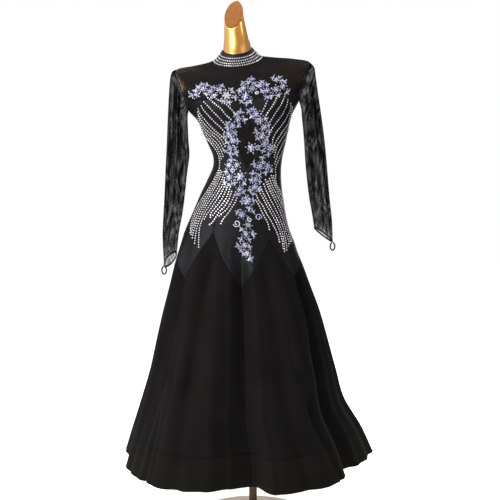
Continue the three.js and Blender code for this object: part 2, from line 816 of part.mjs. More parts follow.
function formRing(level) {
  const ease = level > LEVEL.neck - 1 ? EASE_NECK + COLLAR_BAND : EASE_BODY;
  const share = clamp(level - (LEVEL.neck - 1), 0, 1);
  const inset = mix(EASE_BODY + SHEER_CLOTH, ease, share);
  const halves = [
    [-1, -90],
    [1, 90],
  ];
  return halves.flatMap(([side, start]) =>
    Array.from({ length: RING_POINTS / 2 + 1 }, (_, i) => {
      const angle = start + (360 * i) / RING_POINTS;
      const p = bodyPoint(angle, level, side, ARM_PLATE);
      p.addScaledVector(bodyNormal(angle, level, side, ARM_PLATE), -inset);
      p.z -= SHOULDER_DROP * clamp(Math.min(level - LEVEL.shoulder + 1, LEVEL.neck - level), 0, 1);
      const middle = section(level).y;
      const flat = level > LEVEL.neck - 2 ? 0.05 : ARM_PLATE_HALF;
      p.y = side < 0 ? Math.min(p.y, middle - flat) : Math.max(p.y, middle + flat);
      return p;
    }),
  );
}

function roundRing(row) {
  const { x, y, z, width = row.half, front = row.half, back = row.half } = row;
  const halves = [
    [-1, -90, front],
    [1, 90, back],
  ];
  return halves.flatMap(([side, start, depth]) =>
    Array.from({ length: RING_POINTS / 2 + 1 }, (_, i) => {
      const turn = (start + (360 * i) / RING_POINTS) * RAD;
      const flat = row.half ? 0.05 : ARM_PLATE_HALF;
      const across = width * Math.sin(turn);
      const away = side * Math.max(flat, depth * Math.abs(Math.cos(turn)));
      return new THREE.Vector3(x + across, y + away, z);
    }),
  );
}

const cutHeight = (p) => {
  const top = NECK[NECK.length - 1];
  const across = p.x - (top.x + 2);
  const away = p.y - (top.y + 1);
  return NECK_CUT.z + NECK_CUT.slope * (NECK_CUT.toLeft * across + NECK_CUT.toFront * away);
};

// The neck's rings close up towards the sloping cut, which is the last of them.
function neckRings() {
  const steps = 7;
  const [base, top] = [NECK[0], NECK[NECK.length - 1]];
  const tilted = formRing(LEVEL.collarTop);
  return Array.from({ length: steps }, (_, step) => {
    const share = (step + 1) / steps;
    return tilted.map((start, i) => {
      const rise = (row) => (NECK.length - 1) * row;
      const guess = roundRing({ ...base, ...rowAt(rise(share * 0.75)) })[i];
      const end = cutHeight(guess);
      const height = mix(start.z, end, share);
      const position = rise(clamp((height - base.z) / (top.z - base.z), 0, 1));
      const p = roundRing(rowAt(position))[i];
      return new THREE.Vector3(p.x, p.y, share === 1 ? cutHeight(p) : height);
    });
  });
}

function rowAt(position) {
  return Object.fromEntries(["x", "y", "z", "half"].map((key) => [key, along(NECK, key, position)]));
}

const FORM_LEVELS = [9, 10, 11, 12, 13, 14, 14.5, 15, 16, 17, 17.5, 18, 18.5, 19].concat(
  [19.4, 20, 20.6, 21.2, 21.8, 22.4, 22.8, 23, 23.5, 24, 24.5, 25, ...COLLAR_LEVELS],
);
const NECK_RINGS = neckRings();
add("form_torso", stack([...FORM_BASE.map(roundRing), ...FORM_LEVELS.map(formRing), ...NECK_RINGS]), GOLD);

// A thin plate on the neck's sloping cut.
const CAP = { thickness: 2, share: 0.96 };
const cutRing = NECK_RINGS[NECK_RINGS.length - 1];
const cutMiddle = middleOf(cutRing);
const cutNormal = new THREE.Vector3(
  -NECK_CUT.slope * NECK_CUT.toLeft,
  -NECK_CUT.slope * NECK_CUT.toFront,
  1,
).normalize();
const capRing = (height) =>
  cutRing.map((p) => cutMiddle.clone().lerp(p, CAP.share).addScaledVector(cutNormal, height));
add("neck_cap", stack([capRing(SEAM), capRing(SEAM + CAP.thickness)]), GOLD);

// ---- Stand ----

const turned = (profile, segments = 40) => {
  const geometry = new THREE.LatheGeometry(
    profile.map(([r, z]) => new THREE.Vector2(r, z)),
    segments,
  );
  return geometry.rotateX(Math.PI / 2);
};

const HUB = { radius: 28, height: 34 };
const poleBottom = BASE_THICKNESS + SEAM;
const poleTop = FORM_BOTTOM - SEAM;
const sleeveOf = (inner, outer, bottom, top) =>
  turned([
    [inner, bottom],
    [outer, bottom],
    [outer, top],
    [inner, top],
    [inner, bottom],
  ]);

add(
  "base_plate",
  turned(
    [
      [0, 0],
      [BASE_RADIUS - 2, 0],
      [BASE_RADIUS, 2],
      [BASE_RADIUS, BASE_THICKNESS - 3],
      [BASE_RADIUS - 4, BASE_THICKNESS],
      [0, BASE_THICKNESS],
    ],
    48,
  ),
  STEEL,
);
add(
  "pole",
  turned(
    [
      [0, poleBottom],
      [POLE_RADIUS, poleBottom],
      [POLE_RADIUS, poleTop],
      [0, poleTop],
    ],
    24,
  ),
  STEEL,
);
add(
  "base_hub",
  sleeveOf(POLE_RADIUS + SEAM, HUB.radius, poleBottom, poleBottom + HUB.height),
  STEEL,
);
add(
  "pole_socket",
  sleeveOf(POLE_RADIUS + SEAM, SOCKET_RADIUS, poleTop - SOCKET_LENGTH, poleTop),
  STEEL,
);

export default model;
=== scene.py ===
import math

import bpy
import numpy as np
from bpy.props import FloatProperty, FloatVectorProperty, PointerProperty
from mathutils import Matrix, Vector


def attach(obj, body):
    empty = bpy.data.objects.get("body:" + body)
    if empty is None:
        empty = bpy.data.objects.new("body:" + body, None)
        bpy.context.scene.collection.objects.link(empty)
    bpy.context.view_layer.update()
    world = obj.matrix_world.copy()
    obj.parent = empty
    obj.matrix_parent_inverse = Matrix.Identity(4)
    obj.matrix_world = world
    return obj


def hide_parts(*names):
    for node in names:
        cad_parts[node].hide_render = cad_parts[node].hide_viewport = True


bl_info = {
    "name": "Gown on a dress form",
    "version": (1, 0, 0),
    "blender": (4, 5, 0),
    "location": "View3D > Sidebar > Gown",
    "description": "Makes a gown and the gold form that wears it around the packed frame",
    "category": "Object",
}

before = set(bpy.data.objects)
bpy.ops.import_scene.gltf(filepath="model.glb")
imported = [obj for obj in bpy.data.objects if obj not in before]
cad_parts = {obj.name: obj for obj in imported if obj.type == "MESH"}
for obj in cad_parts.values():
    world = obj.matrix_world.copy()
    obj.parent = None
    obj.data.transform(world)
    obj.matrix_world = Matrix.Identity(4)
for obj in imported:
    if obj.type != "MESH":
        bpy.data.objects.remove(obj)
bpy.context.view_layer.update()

MM = 0.001
RAD = math.pi / 180

# ---- The dress's outer face. Tables are in millimetres and degrees, meshes in metres. ----

# One row for each level from the hem up. x and y are the section's middle, width is half of it
# from side to side, roll lifts the +X side and pitch drops the front.
SECTION_KEYS = ("z", "x", "y", "width", "front", "back", "roll", "pitch")
SECTIONS = np.array([
    (200, -17, 8, 412, 400, 410, 0, 0),
    (290, -24, 7, 380, 362, 375, 0, 0),
    (390, -37, 6, 336, 325, 336, 0, 0),
    (490, -36, 5, 309, 288, 299, 0, 0),
    (590, -38, 4, 286, 249, 262, 0, 0),
    (690, -40, 3, 262, 211, 224, 0, 0),
    (780, -45, 2, 236, 176, 190, 0, 0),
    (850, -46, 0, 215, 150, 162, -2, 0),
    (902, -46, -1, 195, 131, 140, -4, 0),
    (948, -44, -2, 178, 119, 126, -6, 0),
    (986, -43, -3, 162, 113, 120, -7, 0),
    (1025, -40, -3, 149, 107, 113, -7, 0),
    (1070, -35, -3, 136, 99, 104, -6, 0),
    (1117, -28, -2, 122, 90, 93, -5, 0),
    (1163, -20, 0, 112, 83, 84, -3.5, 0),
    (1202, -18, 1, 114, 84, 84, -2, 0),
    (1245, -21, 2, 127, 92, 89, 0, 0),
    (1288, -25, 3, 141, 100, 94, 1.5, 0),
    (1330, -28, 4, 155, 106, 97, 3, 0),
    (1370, -30.5, 6, 181, 106, 98, 5, 0),
    (1405, -31, 8, 190, 102, 99, 4.6, 6),
    (1440, -32, 10, 199, 95, 98, 4.2, 13),
    (1474, -33, 13, 209, 86, 92, 3.7, 20),
    (1502, -34, 15, 219, 78, 82, 3.3, 25),
    (1513, -31, 14, 166, 72, 72, 4, 27),
    (1520, -39, 12, 112, 66, 62, 4.6, 29),
    (1527, -50, 8, 78, 60, 54, 4.9, 30),
    (1540, -51, 2, 62, 52, 50, 5, 30),
    (1556, -51.5, -2, 48, 46, 46, 5, 30),
], float)
HEM, HEM_BAND, GORE_POINT, GODET_TOP = 0, 1, 6, 9
KEYHOLE_BOTTOM, KEYHOLE_TOP, ARMPIT, SHOULDER, NECK, COLLAR_TOP = 14, 18, 19, 23, 26, 28
HIP_TURN = 2.4
GORE_HALF = 30
KEYHOLE_HALF = 14
SEAM_ANGLES_AT_TOP = (34, 90, 150, 210, 270, 326)

# The skirt's main folds: angle, depth at the hem, and how much deeper at the gores' points.
FOLDS = np.array([
    (-177.6, 62, 26), (-163, 2, 0), (-148, 20, 6), (-133, -8, 0), (-117.6, 58, 28),
    (-106, -29, 0), (-88, 17, 6), (-73, 0, 0), (-57.6, -4, 42), (-48, -13, 4),
    (-38, -20, -4), (-29, -10, 12), (-19, 12, -6), (-9, 54, 0), (2.4, 84, 26),
    (12, -6, 0), (24, 4, 8), (35, 3, -4), (45, 16, 6), (54, 36, -2), (62.4, 76, 46),
    (76, 38, 6), (88, 12, 6), (101, -24, 0), (112, 4, 6), (122.4, 62, 28),
    (136, -4, 0), (150, 22, 6), (165, -4, 0),
], float)
FOLD_START, HEM_HEIGHT, FOLD_PEAK = 940, 200, 0.22

# Smaller creases in the skirt and body: depth, width, and the (angle, level) points that each
# one passes from the top down. A depth below zero is a ridge.
CREASES = (
    (8.8, 19, ((-25.9, 8.6), (-24, 7.2), (-22.9, 5.6), (-27, 4.1), (-30.8, 2.8), (-31, 0))),
    (-5, 27, ((-14.6, 7.2), (-12, 5), (-12.2, 3), (-13, 1))),
    (5, 19, ((-6.8, 5.6), (-6.3, 3.8), (-5.2, 1.8), (-4.8, 0))),
    (-3.8, 19, ((-31, 6), (-33, 4.1), (-36, 2.4))),
    (7.5, 21, ((29.7, 8.4), (27.9, 5.6), (28.4, 3.8), (27.2, 1.5), (27, 0))),
    (-6.2, 21, ((52, 6), (49.5, 3.8), (50, 2), (50, 0))),
    (-5, 19, ((37, 6.4), (38, 2.7), (37, 0.6))),
    (5, 19, ((17.3, 7.3), (14.1, 5), (13.6, 2.7), (13, 0))),
    (5, 15, ((55, 5.1), (57, 3.2), (57, 0))),
    (5, 17, ((-68, 5.8), (-67, 4.2), (-66.3, 2.3), (-66, 0))),
    (3.8, 17, ((-40, 6.6), (-41, 4.7), (-43, 2.6), (-44, 0))),
    (6.2, 19, ((-80, 7.6), (-79, 4), (-78, 0))),
    (-5, 21, ((-93, 6.5), (-95, 3), (-97, 0.4))),
    (5, 17, ((-104, 7.2), (-103, 3), (-102, 0))),
    (5, 17, ((-126, 6.2), (-127, 3), (-128, 0))),
    (-5, 23, ((-141, 7), (-141, 0.8))),
    (6.2, 19, ((-155, 7.8), (-155.5, 4), (-157, 0))),
    (3.8, 15, ((-168, 5), (-170, 0))),
    (3.8, 15, ((172, 5.4), (173, 0))),
    (7.5, 19, ((158, 8), (159, 4), (160, 0))),
    (-5, 25, ((146, 7.2), (144, 0.6))),
    (5, 17, ((134, 6.6), (132, 3), (130, 0))),
    (4.4, 17, ((108, 6), (108, 0))),
    (6.2, 17, ((95, 8.2), (95, 4), (94, 0))),
    (-5, 23, ((84, 7.4), (84, 1))),
    (6.2, 19, ((72, 6.8), (70, 3.5), (69, 0))),
    (11, 13, ((-61, 7.6), (-54, 5), (-52, 3.2), (-49, 1.6), (-49, 0))),
    (9, 13, ((-20, 8.8), (-30, 6), (-33, 3), (-34, 1.4))),
    (9, 14, ((37, 7.4), (34, 3.9), (43, 1.6), (48, 0))),
    (10, 13, ((10, 7.8), (7.5, 5), (6.5, 2.4), (6, 0))),
    (1.2, 8, ((-82, 18.6), (-68, 18.2), (-58, 17.9))),
    (1.2, 7, ((84, 18.5), (70, 18.1), (60, 17.8))),
    (1, 7, ((-84, 15.4), (-72, 14.9), (-62, 14.6))),
    (1, 7, ((86, 15.2), (74, 14.7), (64, 14.5))),
    (1.3, 8, ((118, 15.3), (135, 14.8), (152, 14.6))),
    (1.3, 8, ((-116, 15.2), (-134, 14.7), (-150, 14.5))),
)

ARMHOLE = (52, 0.75)  # half of the opening in the cloth, and how round it is
ARM_PLATE = (44, 1.3)  # the smaller oval at the form's shoulder
SHOULDER_SEAM_HALF = 0.05
BACK_PITCH = 0.2  # the back's share of a section's pitch
SLOPE_ANGLE, SLOPE_LEVEL = 0.4, 0.02  # half of the steps over which the cloth's slope is taken
CUP = {"angle": 33, "z": 1352, "height": 17, "spread_angle": 19, "spread_z": 44}


def between(a, b, c, d, f):
    """A smooth curve's point at share f from b to c, with a before them and d after them."""
    return b + 0.5 * f * (c - a + f * (2 * a - 5 * b + 4 * c - d + f * (3 * (b - c) + d - a)))


def curve_through(column, position):
    """A smooth curve through one column of a table, by row number."""
    last = len(column) - 1
    i = np.clip(np.floor(position), 0, last - 1).astype(int)
    f = np.clip(position, 0, last) - i
    return between(*(column[np.clip(i + n, 0, last)] for n in (-1, 0, 1, 2)), f)


def dress_section(level):
    return {key: curve_through(SECTIONS[:, i], level) for i, key in enumerate(SECTION_KEYS)}


def smooth(share):
    share = np.clip(share, 0, 1)
    return share * share * (3 - 2 * share)


def mix(a, b, share):
    return a + (b - a) * share


def bell(distance, middle, width):
    """1 at the middle, fading to nothing about two widths away."""
    return np.exp(-(((distance - middle) / width) ** 2))


def side_of(angle):
    """-1 for angles of the front pieces and 1 for those of the back ones."""
    return np.where(np.cos(np.asarray(angle) * RAD) >= -1e-9, -1, 1)


def fold_depth(angle, height):
    fall = np.clip((FOLD_START - height) / (FOLD_START - HEM_HEIGHT), 0, 1)
    rows = np.vstack([FOLDS, FOLDS[0] + (360, 0, 0)])
    turned = (angle - FOLDS[0, 0]) % 360 + FOLDS[0, 0]
    after = np.clip(np.searchsorted(rows[:, 0], turned, side="right"), 1, len(rows) - 1)
    low, high = rows[after - 1], rows[after]
    share = (1 - np.cos(np.pi * (turned - low[..., 0]) / (high[..., 0] - low[..., 0]))) / 2
    past = np.maximum(0, fall - FOLD_PEAK) / (1 - FOLD_PEAK)
    swell = np.minimum(fall / FOLD_PEAK, 1 - past**1.5)
    grown = lambda row: row[..., 1] * fall + row[..., 2] * swell
    return mix(grown(low), grown(high), share)


def crease_depth(creases, angle, level, radius):
    """How far small creases draw the cloth in, at angles and levels of their own table."""
    depth = np.zeros(np.broadcast(angle, level).shape)
    for deep, width, points in creases:
        angles, levels = (np.array(column, float) for column in zip(*points))
        rising = levels[-1] > levels[0]
        order = slice(None) if rising else slice(None, None, -1)
        middle = np.interp(level, levels[order], angles[order])
        low, high = min(levels), max(levels)
        reach = 0.3 * (high - low)
        fade = smooth((high - level) / reach)
        if low > 0:
            fade = fade * smooth((level - low) / reach)
        away = ((angle - middle + 180) % 360 - 180) * RAD * radius / width
        depth += deep * fade * np.exp(-(away**2))
    return depth


def armhole_half(level, hole):
    half, power = hole
    share = np.clip((level - ARMPIT) / (SHOULDER - ARMPIT), 0, 1)
    bow = np.maximum(SHOULDER_SEAM_HALF, half * np.maximum(0, np.sin(np.pi * share)) ** power)
    return np.where(level <= ARMPIT, 0, bow)


def dress_point(angle, level, side=None, hole=ARMHOLE, creases=CREASES):
    """Points of the outer face. side is -1 for the front pieces and 1 for the back ones."""
    angle, level = np.broadcast_arrays(np.asarray(angle, float), np.asarray(level, float))
    if side is None:
        side = side_of(angle)
    s = dress_section(level)
    half = armhole_half(level, hole)
    depth = np.where(np.asarray(side) < 0, s["front"], s["back"])
    x = s["width"] * np.sin(angle * RAD)
    y = side * half - (depth - half) * np.cos(angle * RAD)
    radius = np.hypot(x, y)
    drawn_in = fold_depth(angle, s["z"]) + crease_depth(creases, angle, level, radius)
    kept = (radius - drawn_in) / radius
    x, y = x * kept, y * kept
    away = (np.abs(angle) - CUP["angle"]) / CUP["spread_angle"]
    up = (s["z"] - CUP["z"]) / CUP["spread_z"]
    y = y - np.where(np.asarray(side) < 0, CUP["height"] * np.exp(-(away**2) - up**2), 0)
    pitch = s["pitch"] * np.where(y < 0, 1, BACK_PITCH)
    z = s["z"] + x * np.tan(s["roll"] * RAD) + y * np.tan(pitch * RAD)
    return np.stack([s["x"] + x, s["y"] + y, z], -1)


def dress_normal(angle, level, side=None, hole=ARMHOLE, creases=CREASES):
    if side is None:
        side = side_of(angle)
    at = lambda a, l: dress_point(a, l, side, hole, creases)
    across = at(angle + SLOPE_ANGLE, level) - at(angle - SLOPE_ANGLE, level)
    up = at(angle, level + SLOPE_LEVEL) - at(angle, level - SLOPE_LEVEL)
    return unit(np.cross(across, up))


def unit(vectors):
    return vectors / np.maximum(np.linalg.norm(vectors, axis=-1, keepdims=True), 1e-12)


# ---- Seams ----


def seam_angle(k, level):
    """The angle of seam k, which runs up from the top of a godet."""
    at_hip = HIP_TURN + GORE_HALF + 2 * GORE_HALF * k
    at_top = SEAM_ANGLES_AT_TOP[k % 6] + 360 * (k // 6)
    return mix(at_hip, at_top, np.clip((level - GODET_TOP) / (ARMPIT - GODET_TOP), 0, 1))


def gore_half(level):
    """Half of a gore's angle between its point and the tops of the godets beside it."""
    low, high = SECTIONS[GORE_POINT, 0], SECTIONS[GODET_TOP, 0]
    share = (dress_section(level)["z"] - low) / (high - low)
    narrowed = np.clip(share * GORE_HALF, 0.05, GORE_HALF)
    return np.where(level >= GODET_TOP, GORE_HALF, np.where(level < GORE_POINT, 0, narrowed))


def gore_edge(c, level, direction):
    in_point = HIP_TURN + 2 * GORE_HALF * c + direction * gore_half(level)
    in_body = seam_angle(c if direction > 0 else c - 1, level)
    return np.where(level > GODET_TOP, in_body, in_point)


def middle_angle(c, level):
    share = np.clip((level - GODET_TOP) / (ARMPIT - GODET_TOP), 0, 1)
    return mix(HIP_TURN, 0, share) + 2 * GORE_HALF * c


def keyhole_half(level):
    share = (level - KEYHOLE_BOTTOM) / (KEYHOLE_TOP - KEYHOLE_BOTTOM)
    return KEYHOLE_HALF * np.maximum(0, np.sin(np.pi * np.clip(share, 0, 1))) ** 0.7


def neckline_level(angle):
    """Where the opaque body ends and the sheer yoke begins."""
    wrapped = np.abs((angle + 180) % 360 - 180)
    front = wrapped <= 90
    share = np.where(front, wrapped, 180 - wrapped) / 90
    rise = np.maximum(0, np.sin(np.pi * share)) ** 1.5
    return ARMPIT + np.where(front, 0.8 * rise - 0.12 * (1 - share) ** 6, 0.45 * rise)


# ---- Sleeves: the points nearest and furthest from the body, half of the depth from front to
# back, the ring's middle, and how much the front edge is raised. ----

SLEEVES = {
    "left": np.array([
        (-215, 1344, -266, 1481, 47, 12, 0), (-216, 1328, -273, 1456, 46, 12, 0),
        (-215, 1298, -277, 1404, 46, 11, 0), (-213, 1255, -281, 1328, 44, 10, 0),
        (-210, 1209, -285, 1235, 42, 8, 0), (-218, 1146, -289, 1156, 39, 6, 0),
        (-225, 1080, -292, 1084, 36, 4, 0), (-233, 1018, -296, 1014, 34, 2, 0),
        (-245, 955, -299, 943, 31, 0, 4), (-252, 889, -295, 850, 28, -2, 16),
    ], float),
    "right": np.array([
        (155, 1376, 201, 1496, 47, 12, 0), (159, 1359, 206, 1466, 46, 12, 0),
        (161, 1333, 214, 1410, 46, 11, 0), (165, 1295, 224, 1344, 44, 10, 0),
        (169, 1242, 235, 1262, 42, 8, 0), (173, 1179, 243, 1183, 39, 6, 0),
        (179, 1117, 249, 1110, 36, 4, 0), (186, 1064, 255, 1047, 34, 2, 0),
        (195, 1014, 261, 991, 31, 0, 2), (201, 975, 263, 929, 28, -2, 5),
    ], float),
}

# Depth, width, and (turn, ring) points from the shoulder down. Turn 0 faces the body, 90 the
# front, 180 outwards and 270 the back.
SLEEVE_CREASES = {
    "left": (
        (6, 6, ((70, 0.4), (82, 2), (78, 4), (92, 5.6))),
        (5, 6, ((118, 0.9), (112, 3), (120, 5), (108, 6.8))),
        (4, 5, ((146, 2.6), (136, 5), (128, 7), (120, 8.8))),
        (4, 5, ((44, 3.2), (56, 4.6), (48, 6.4), (62, 8.6))),
        (4, 5, ((96, 5.6), (84, 7), (92, 8.4), (96, 9.8))),
        (-3, 6, ((98, 1), (98, 3), (102, 5))),
        (6, 7, ((238, 0.5), (246, 3), (236, 6))),
        (5, 6, ((288, 1.6), (278, 4), (290, 8))),
        (4, 5, ((214, 4), (222, 7), (216, 9.6))),
        (-3, 6, ((262, 1), (264, 5), (258, 8.5))),
    ),
    "right": (
        (6, 6, ((76, 0.4), (66, 2), (78, 4), (70, 5.8))),
        (5, 6, ((112, 0.8), (120, 2.6), (108, 4.6), (118, 6.6))),
        (4, 5, ((142, 2.2), (132, 4.4), (138, 6.6), (124, 9))),
        (4, 5, ((50, 3.4), (42, 5), (56, 7), (50, 9))),
        (4, 5, ((90, 6), (98, 7.6), (88, 9.8))),
        (-3, 6, ((94, 1), (92, 3), (96, 5.4))),
        (6, 7, ((244, 0.5), (236, 3), (244, 6.4))),
        (5, 6, ((284, 1.8), (292, 4.4), (280, 8))),
        (4, 5, ((218, 4.2), (212, 7), (220, 9.6))),
        (-3, 6, ((264, 1.2), (260, 5), (266, 8.5))),
    ),
}
OUTWARD = {"left": -1, "right": 1}


def sleeve_point(side, turn, ring, creased=True):
    """Points of a sleeve. Ring 0 is the armhole's edge and the table's rows follow it."""
    turn, ring = np.broadcast_arrays(np.asarray(turn, float), np.asarray(ring, float))
    t = turn * RAD
    share = (1 - np.cos(t)) / 2
    rows = SLEEVES[side]
    direction = OUTWARD[side]
    back = (turn % 360) > 180
    level = mix(ARMPIT + 0.005, SHOULDER, share)
    edge = np.where(
        back[..., None],
        dress_point(90 * direction, level, 1),
        dress_point(90 * direction, level, -1),
    )
    stations = [edge]
    for inner_x, inner_z, outer_x, outer_z, half, y, raised in rows:
        stations.append(np.stack([
            mix(inner_x, outer_x, share),
            y - half * np.sin(t),
            mix(inner_z, outer_z, share) + raised * np.sin(t),
        ], -1))
    stations = np.array(stations)
    last = len(rows)
    i = np.clip(np.floor(ring), 0, last - 1).astype(int)
    f = (np.clip(ring, 0, last) - i)[..., None]
    pick = lambda n: np.take_along_axis(stations, np.clip(i + n, 0, last)[None, ..., None], 0)[0]
    points = between(*(pick(n) for n in (-1, 0, 1, 2)), f)
    if creased:
        points = points - sleeve_inwards(side, turn, ring)
    return points


def sleeve_inwards(side, turn, ring):
    table = SLEEVE_CREASES[side]
    span = curve_through(np.concatenate([[50], SLEEVES[side][:, 4]]), ring)
    depth = crease_depth(table, turn, ring, span * 0.85)
    fading = smooth(ring / 0.8) * smooth((len(SLEEVES[side]) - ring) / 0.3)
    t = turn * RAD
    outwards = np.stack([-OUTWARD[side] * np.cos(t), -np.sin(t), np.zeros_like(t)], -1)
    return outwards * (depth * fading)[..., None]


# ---- Meshes ----


def grid_faces(rows, columns, closed=False):
    """Quads of a grid whose rows go up and whose columns go round with the angle."""
    across = columns if closed else columns - 1
    i, j = np.meshgrid(np.arange(rows - 1), np.arange(across), indexing="ij")
    a = i * columns + j
    b = i * columns + (j + 1) % columns
    return np.stack([a, b, b + columns, a + columns], -1).reshape(-1, 4)


def make_piece(name, points, faces, material, values=None):
    """An object from points in millimetres. values are its named point attributes."""
    mesh = bpy.data.meshes.new(name)
    mesh.from_pydata((np.asarray(points).reshape(-1, 3) * MM).tolist(), [], list(map(list, faces)))
    mesh.polygons.foreach_set("use_smooth", np.ones(len(mesh.polygons), bool))
    for key, value in (values or {}).items():
        value = np.asarray(value, float)
        if value.ndim > 1 and value.shape[-1] == 3:
            layer = mesh.attributes.new(key, "FLOAT_VECTOR", "POINT")
            layer.data.foreach_set("vector", value.ravel())
        else:
            layer = mesh.attributes.new(key, "FLOAT", "POINT")
            layer.data.foreach_set("value", value.ravel())
    mesh.update()
    mesh.materials.append(material)
    piece = bpy.data.objects.new(name, mesh)
    bpy.context.collection.objects.link(piece)
    return piece


def thicken(piece, thickness):
    """Gives cloth its thickness, inwards from its outer face."""
    shell = piece.modifiers.new("thickness", "SOLIDIFY")
    shell.thickness = thickness
    shell.offset = -1


def stand_for(piece, node):
    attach(piece, "root")
    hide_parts(node)


def declare_sheet(points):
    """Works out a grid's widest row, longest column and area in metres, the area no more than width
    times length; nothing keeps them.
    """
    width, length, area = cut_size(points)
    area = min(area, width * length)


def make_cloth(node, finish, points, material, values, thickness, rests_on):
    """A sewn piece of cloth that stands for one CAD node, from a grid of its outer face."""
    faces = grid_faces(*points.shape[:2])
    piece = make_piece(f"{node}-{finish}", points, faces, material, values)
    thicken(piece, thickness)
    stand_for(piece, node)
    declare_sheet(points)
    return piece


def lengths(points, axis):
    """Distance along a grid's rows (axis 1) or columns (axis 0), in millimetres."""
    steps = np.linalg.norm(np.diff(points, axis=axis), axis=-1)
    start = np.zeros_like(np.take(steps, [0], axis))
    return np.cumsum(np.concatenate([start, steps], axis), axis)


def edge_shares(count):
    """Shares from 0 to 1, closer together near both ends."""
    u = np.linspace(0, 1, count)
    return mix(u, (1 - np.cos(np.pi * u)) / 2, 0.75)


# The cloth beside a seam, in millimetres from it: its groove and thread, the swell and the row of
# stitches next to them, and the puckers along it.
GROOVE_WIDTH, THREAD_WIDTH = 2.2, 1.3
SWELL = {"height": 0.3, "at": 6, "width": 3}
STITCHES = {"share": 0.45, "at": 5.5, "width": 0.9}
PUCKER = {"depth": 0.16, "length": 11, "sway": 1.3, "drift": 23, "at": 4, "spread": 40}


def cloth_grid(points, normals, seams, seam_dip=0.9):
    """Draws a grid in along the sewn sides named in seams, and gives its attributes."""
    across, up = lengths(points, 1), lengths(points, 0)
    away = {
        "first": across, "last": across[:, -1:] - across,
        "bottom": up, "top": up[-1:] - up,
    }
    along = {"first": up, "last": up, "bottom": across, "top": across}
    sewn = np.zeros(across.shape)
    moved = np.zeros(across.shape)
    for side in seams:
        d, run = away[side], along[side]
        swell = SWELL["height"] * bell(d, SWELL["at"], SWELL["width"])
        sway = PUCKER["sway"] * np.sin(run / PUCKER["drift"])
        pucker = np.sin(run * 2 * np.pi / PUCKER["length"] + sway)
        fade = np.exp(-((d - PUCKER["at"]) ** 2) / PUCKER["spread"])
        moved += seam_dip * bell(d, 0, GROOVE_WIDTH) - swell
        moved += PUCKER["depth"] * pucker * fade
        stitched = STITCHES["share"] * bell(d, STITCHES["at"], STITCHES["width"])
        sewn = np.maximum(sewn, bell(d, 0, THREAD_WIDTH) + stitched)
    cloth = np.stack([across, up, np.zeros_like(up)], -1) * MM
    return points - normals * moved[..., None], {"cloth": cloth, "seam": sewn}


def cloth_coordinates(rows):
    """The attribute that a weave follows: distances along a grid's rows and columns."""
    return {"cloth": np.stack([lengths(rows, 1), lengths(rows, 0), 0 * rows[..., 0]], -1) * MM}


def cut_size(points):
    """The widest row and longest column of a grid in metres, and its area."""
    a = np.cross(points[1:, 1:] - points[:-1, :-1], points[1:, :-1] - points[:-1, 1:])
    area = np.linalg.norm(a, axis=-1).sum() / 2 * MM * MM
    width, length = lengths(points, 1)[:, -1].max() * MM, lengths(points, 0)[-1].max() * MM
    return float(width), float(length), float(area)


# ---- Materials ----


def shader_of(material):
    return material.node_tree.nodes["Principled BSDF"]


def new_material(name, colour, roughness, **inputs):
    material = bpy.data.materials.new(name)
    material.use_nodes = True
    shader = shader_of(material)
    shader.inputs["Base Color"].default_value = (*colour, 1)
    shader.inputs["Roughness"].default_value = roughness
    for key, value in inputs.items():
        shader.inputs[key.replace("_", " ")].default_value = value
    return material


def node(material, kind, **settings):
    made = material.node_tree.nodes.new(kind)
    for key, value in settings.items():
        setattr(made, key, value)
    return made


def link(material, out, into):
    material.node_tree.links.new(out, into)


def maths(material, operation, *values):
    made = node(material, "ShaderNodeMath", operation=operation)
    for i, value in enumerate(values):
        if isinstance(value, (int, float)):
            made.inputs[i].default_value = value
        else:
            link(material, value, made.inputs[i])
    return made.outputs[0]


def attribute(material, name, output="Fac"):
    return node(material, "ShaderNodeAttribute", attribute_name=name).outputs[output]


def noise(material, scale, detail=3.0, vector=None):
    made = node(material, "ShaderNodeTexNoise")
    made.inputs["Scale"].default_value = scale
    made.inputs["Detail"].default_value = detail
    if vector is None:
        vector = node(material, "ShaderNodeTexCoord").outputs["Object"]
    link(material, vector, made.inputs["Vector"])
    return made.outputs["Fac"]


def waves(material, along, across, pitch):
    """A sine across the cloth's own coordinates. along and across give its direction."""
    parts = node(material, "ShaderNodeSeparateXYZ")
    link(material, attribute(material, "cloth", "Vector"), parts.inputs[0])
    turn = 2 * math.pi / pitch
    u = maths(material, "MULTIPLY", parts.outputs[0], along * turn)
    v = maths(material, "MULTIPLY", parts.outputs[1], across * turn)
    return maths(material, "SINE", maths(material, "ADD", u, v))


def colours(material, factor, stops):
    ramp = node(material, "ShaderNodeValToRGB")
    elements = ramp.color_ramp.elements
    while len(elements) < len(stops):
        elements.new(0.5)
    for element, (position, colour) in zip(elements, stops):
        element.position = position
        element.color = (*colour, 1)
    link(material, factor, ramp.inputs[0])
    return ramp.outputs[0]


def paint(material, factor, stops):
    """Colours a material by a factor, from its stops of place and colour."""
    link(material, colours(material, factor, stops), shader_of(material).inputs["Base Color"])


def bump(material, height, distance, strength):
    made = node(material, "ShaderNodeBump")
    made.inputs["Distance"].default_value = distance
    made.inputs["Strength"].default_value = strength
    link(material, height, made.inputs["Height"])
    link(material, made.outputs[0], shader_of(material).inputs["Normal"])


def shade(colour, amount):
    return tuple(c * amount for c in colour)


STITCH_LENGTH, MESH_PITCH = 0.0032, 0.0017  # a stitch along its seam, and a hole of the net
THREAD_COVER, THREAD_BASE = 0.30, 0.24  # how much more the net's threads hide than its holes do
# How much the gather attribute, which also carries the yoke's painted glint, and the seams add to
# the net's cover.
GATHER_AND_GLINT_COVER, SEAM_COVER = 0.30, 0.40
LEAST_COVER, MOST_COVER = 0.12, 0.97
CONTOUR_SCALE, CONTOUR_COUNT, CONTOUR_STRETCH = 17, 70, 0.3  # the wavy bands that two nets make


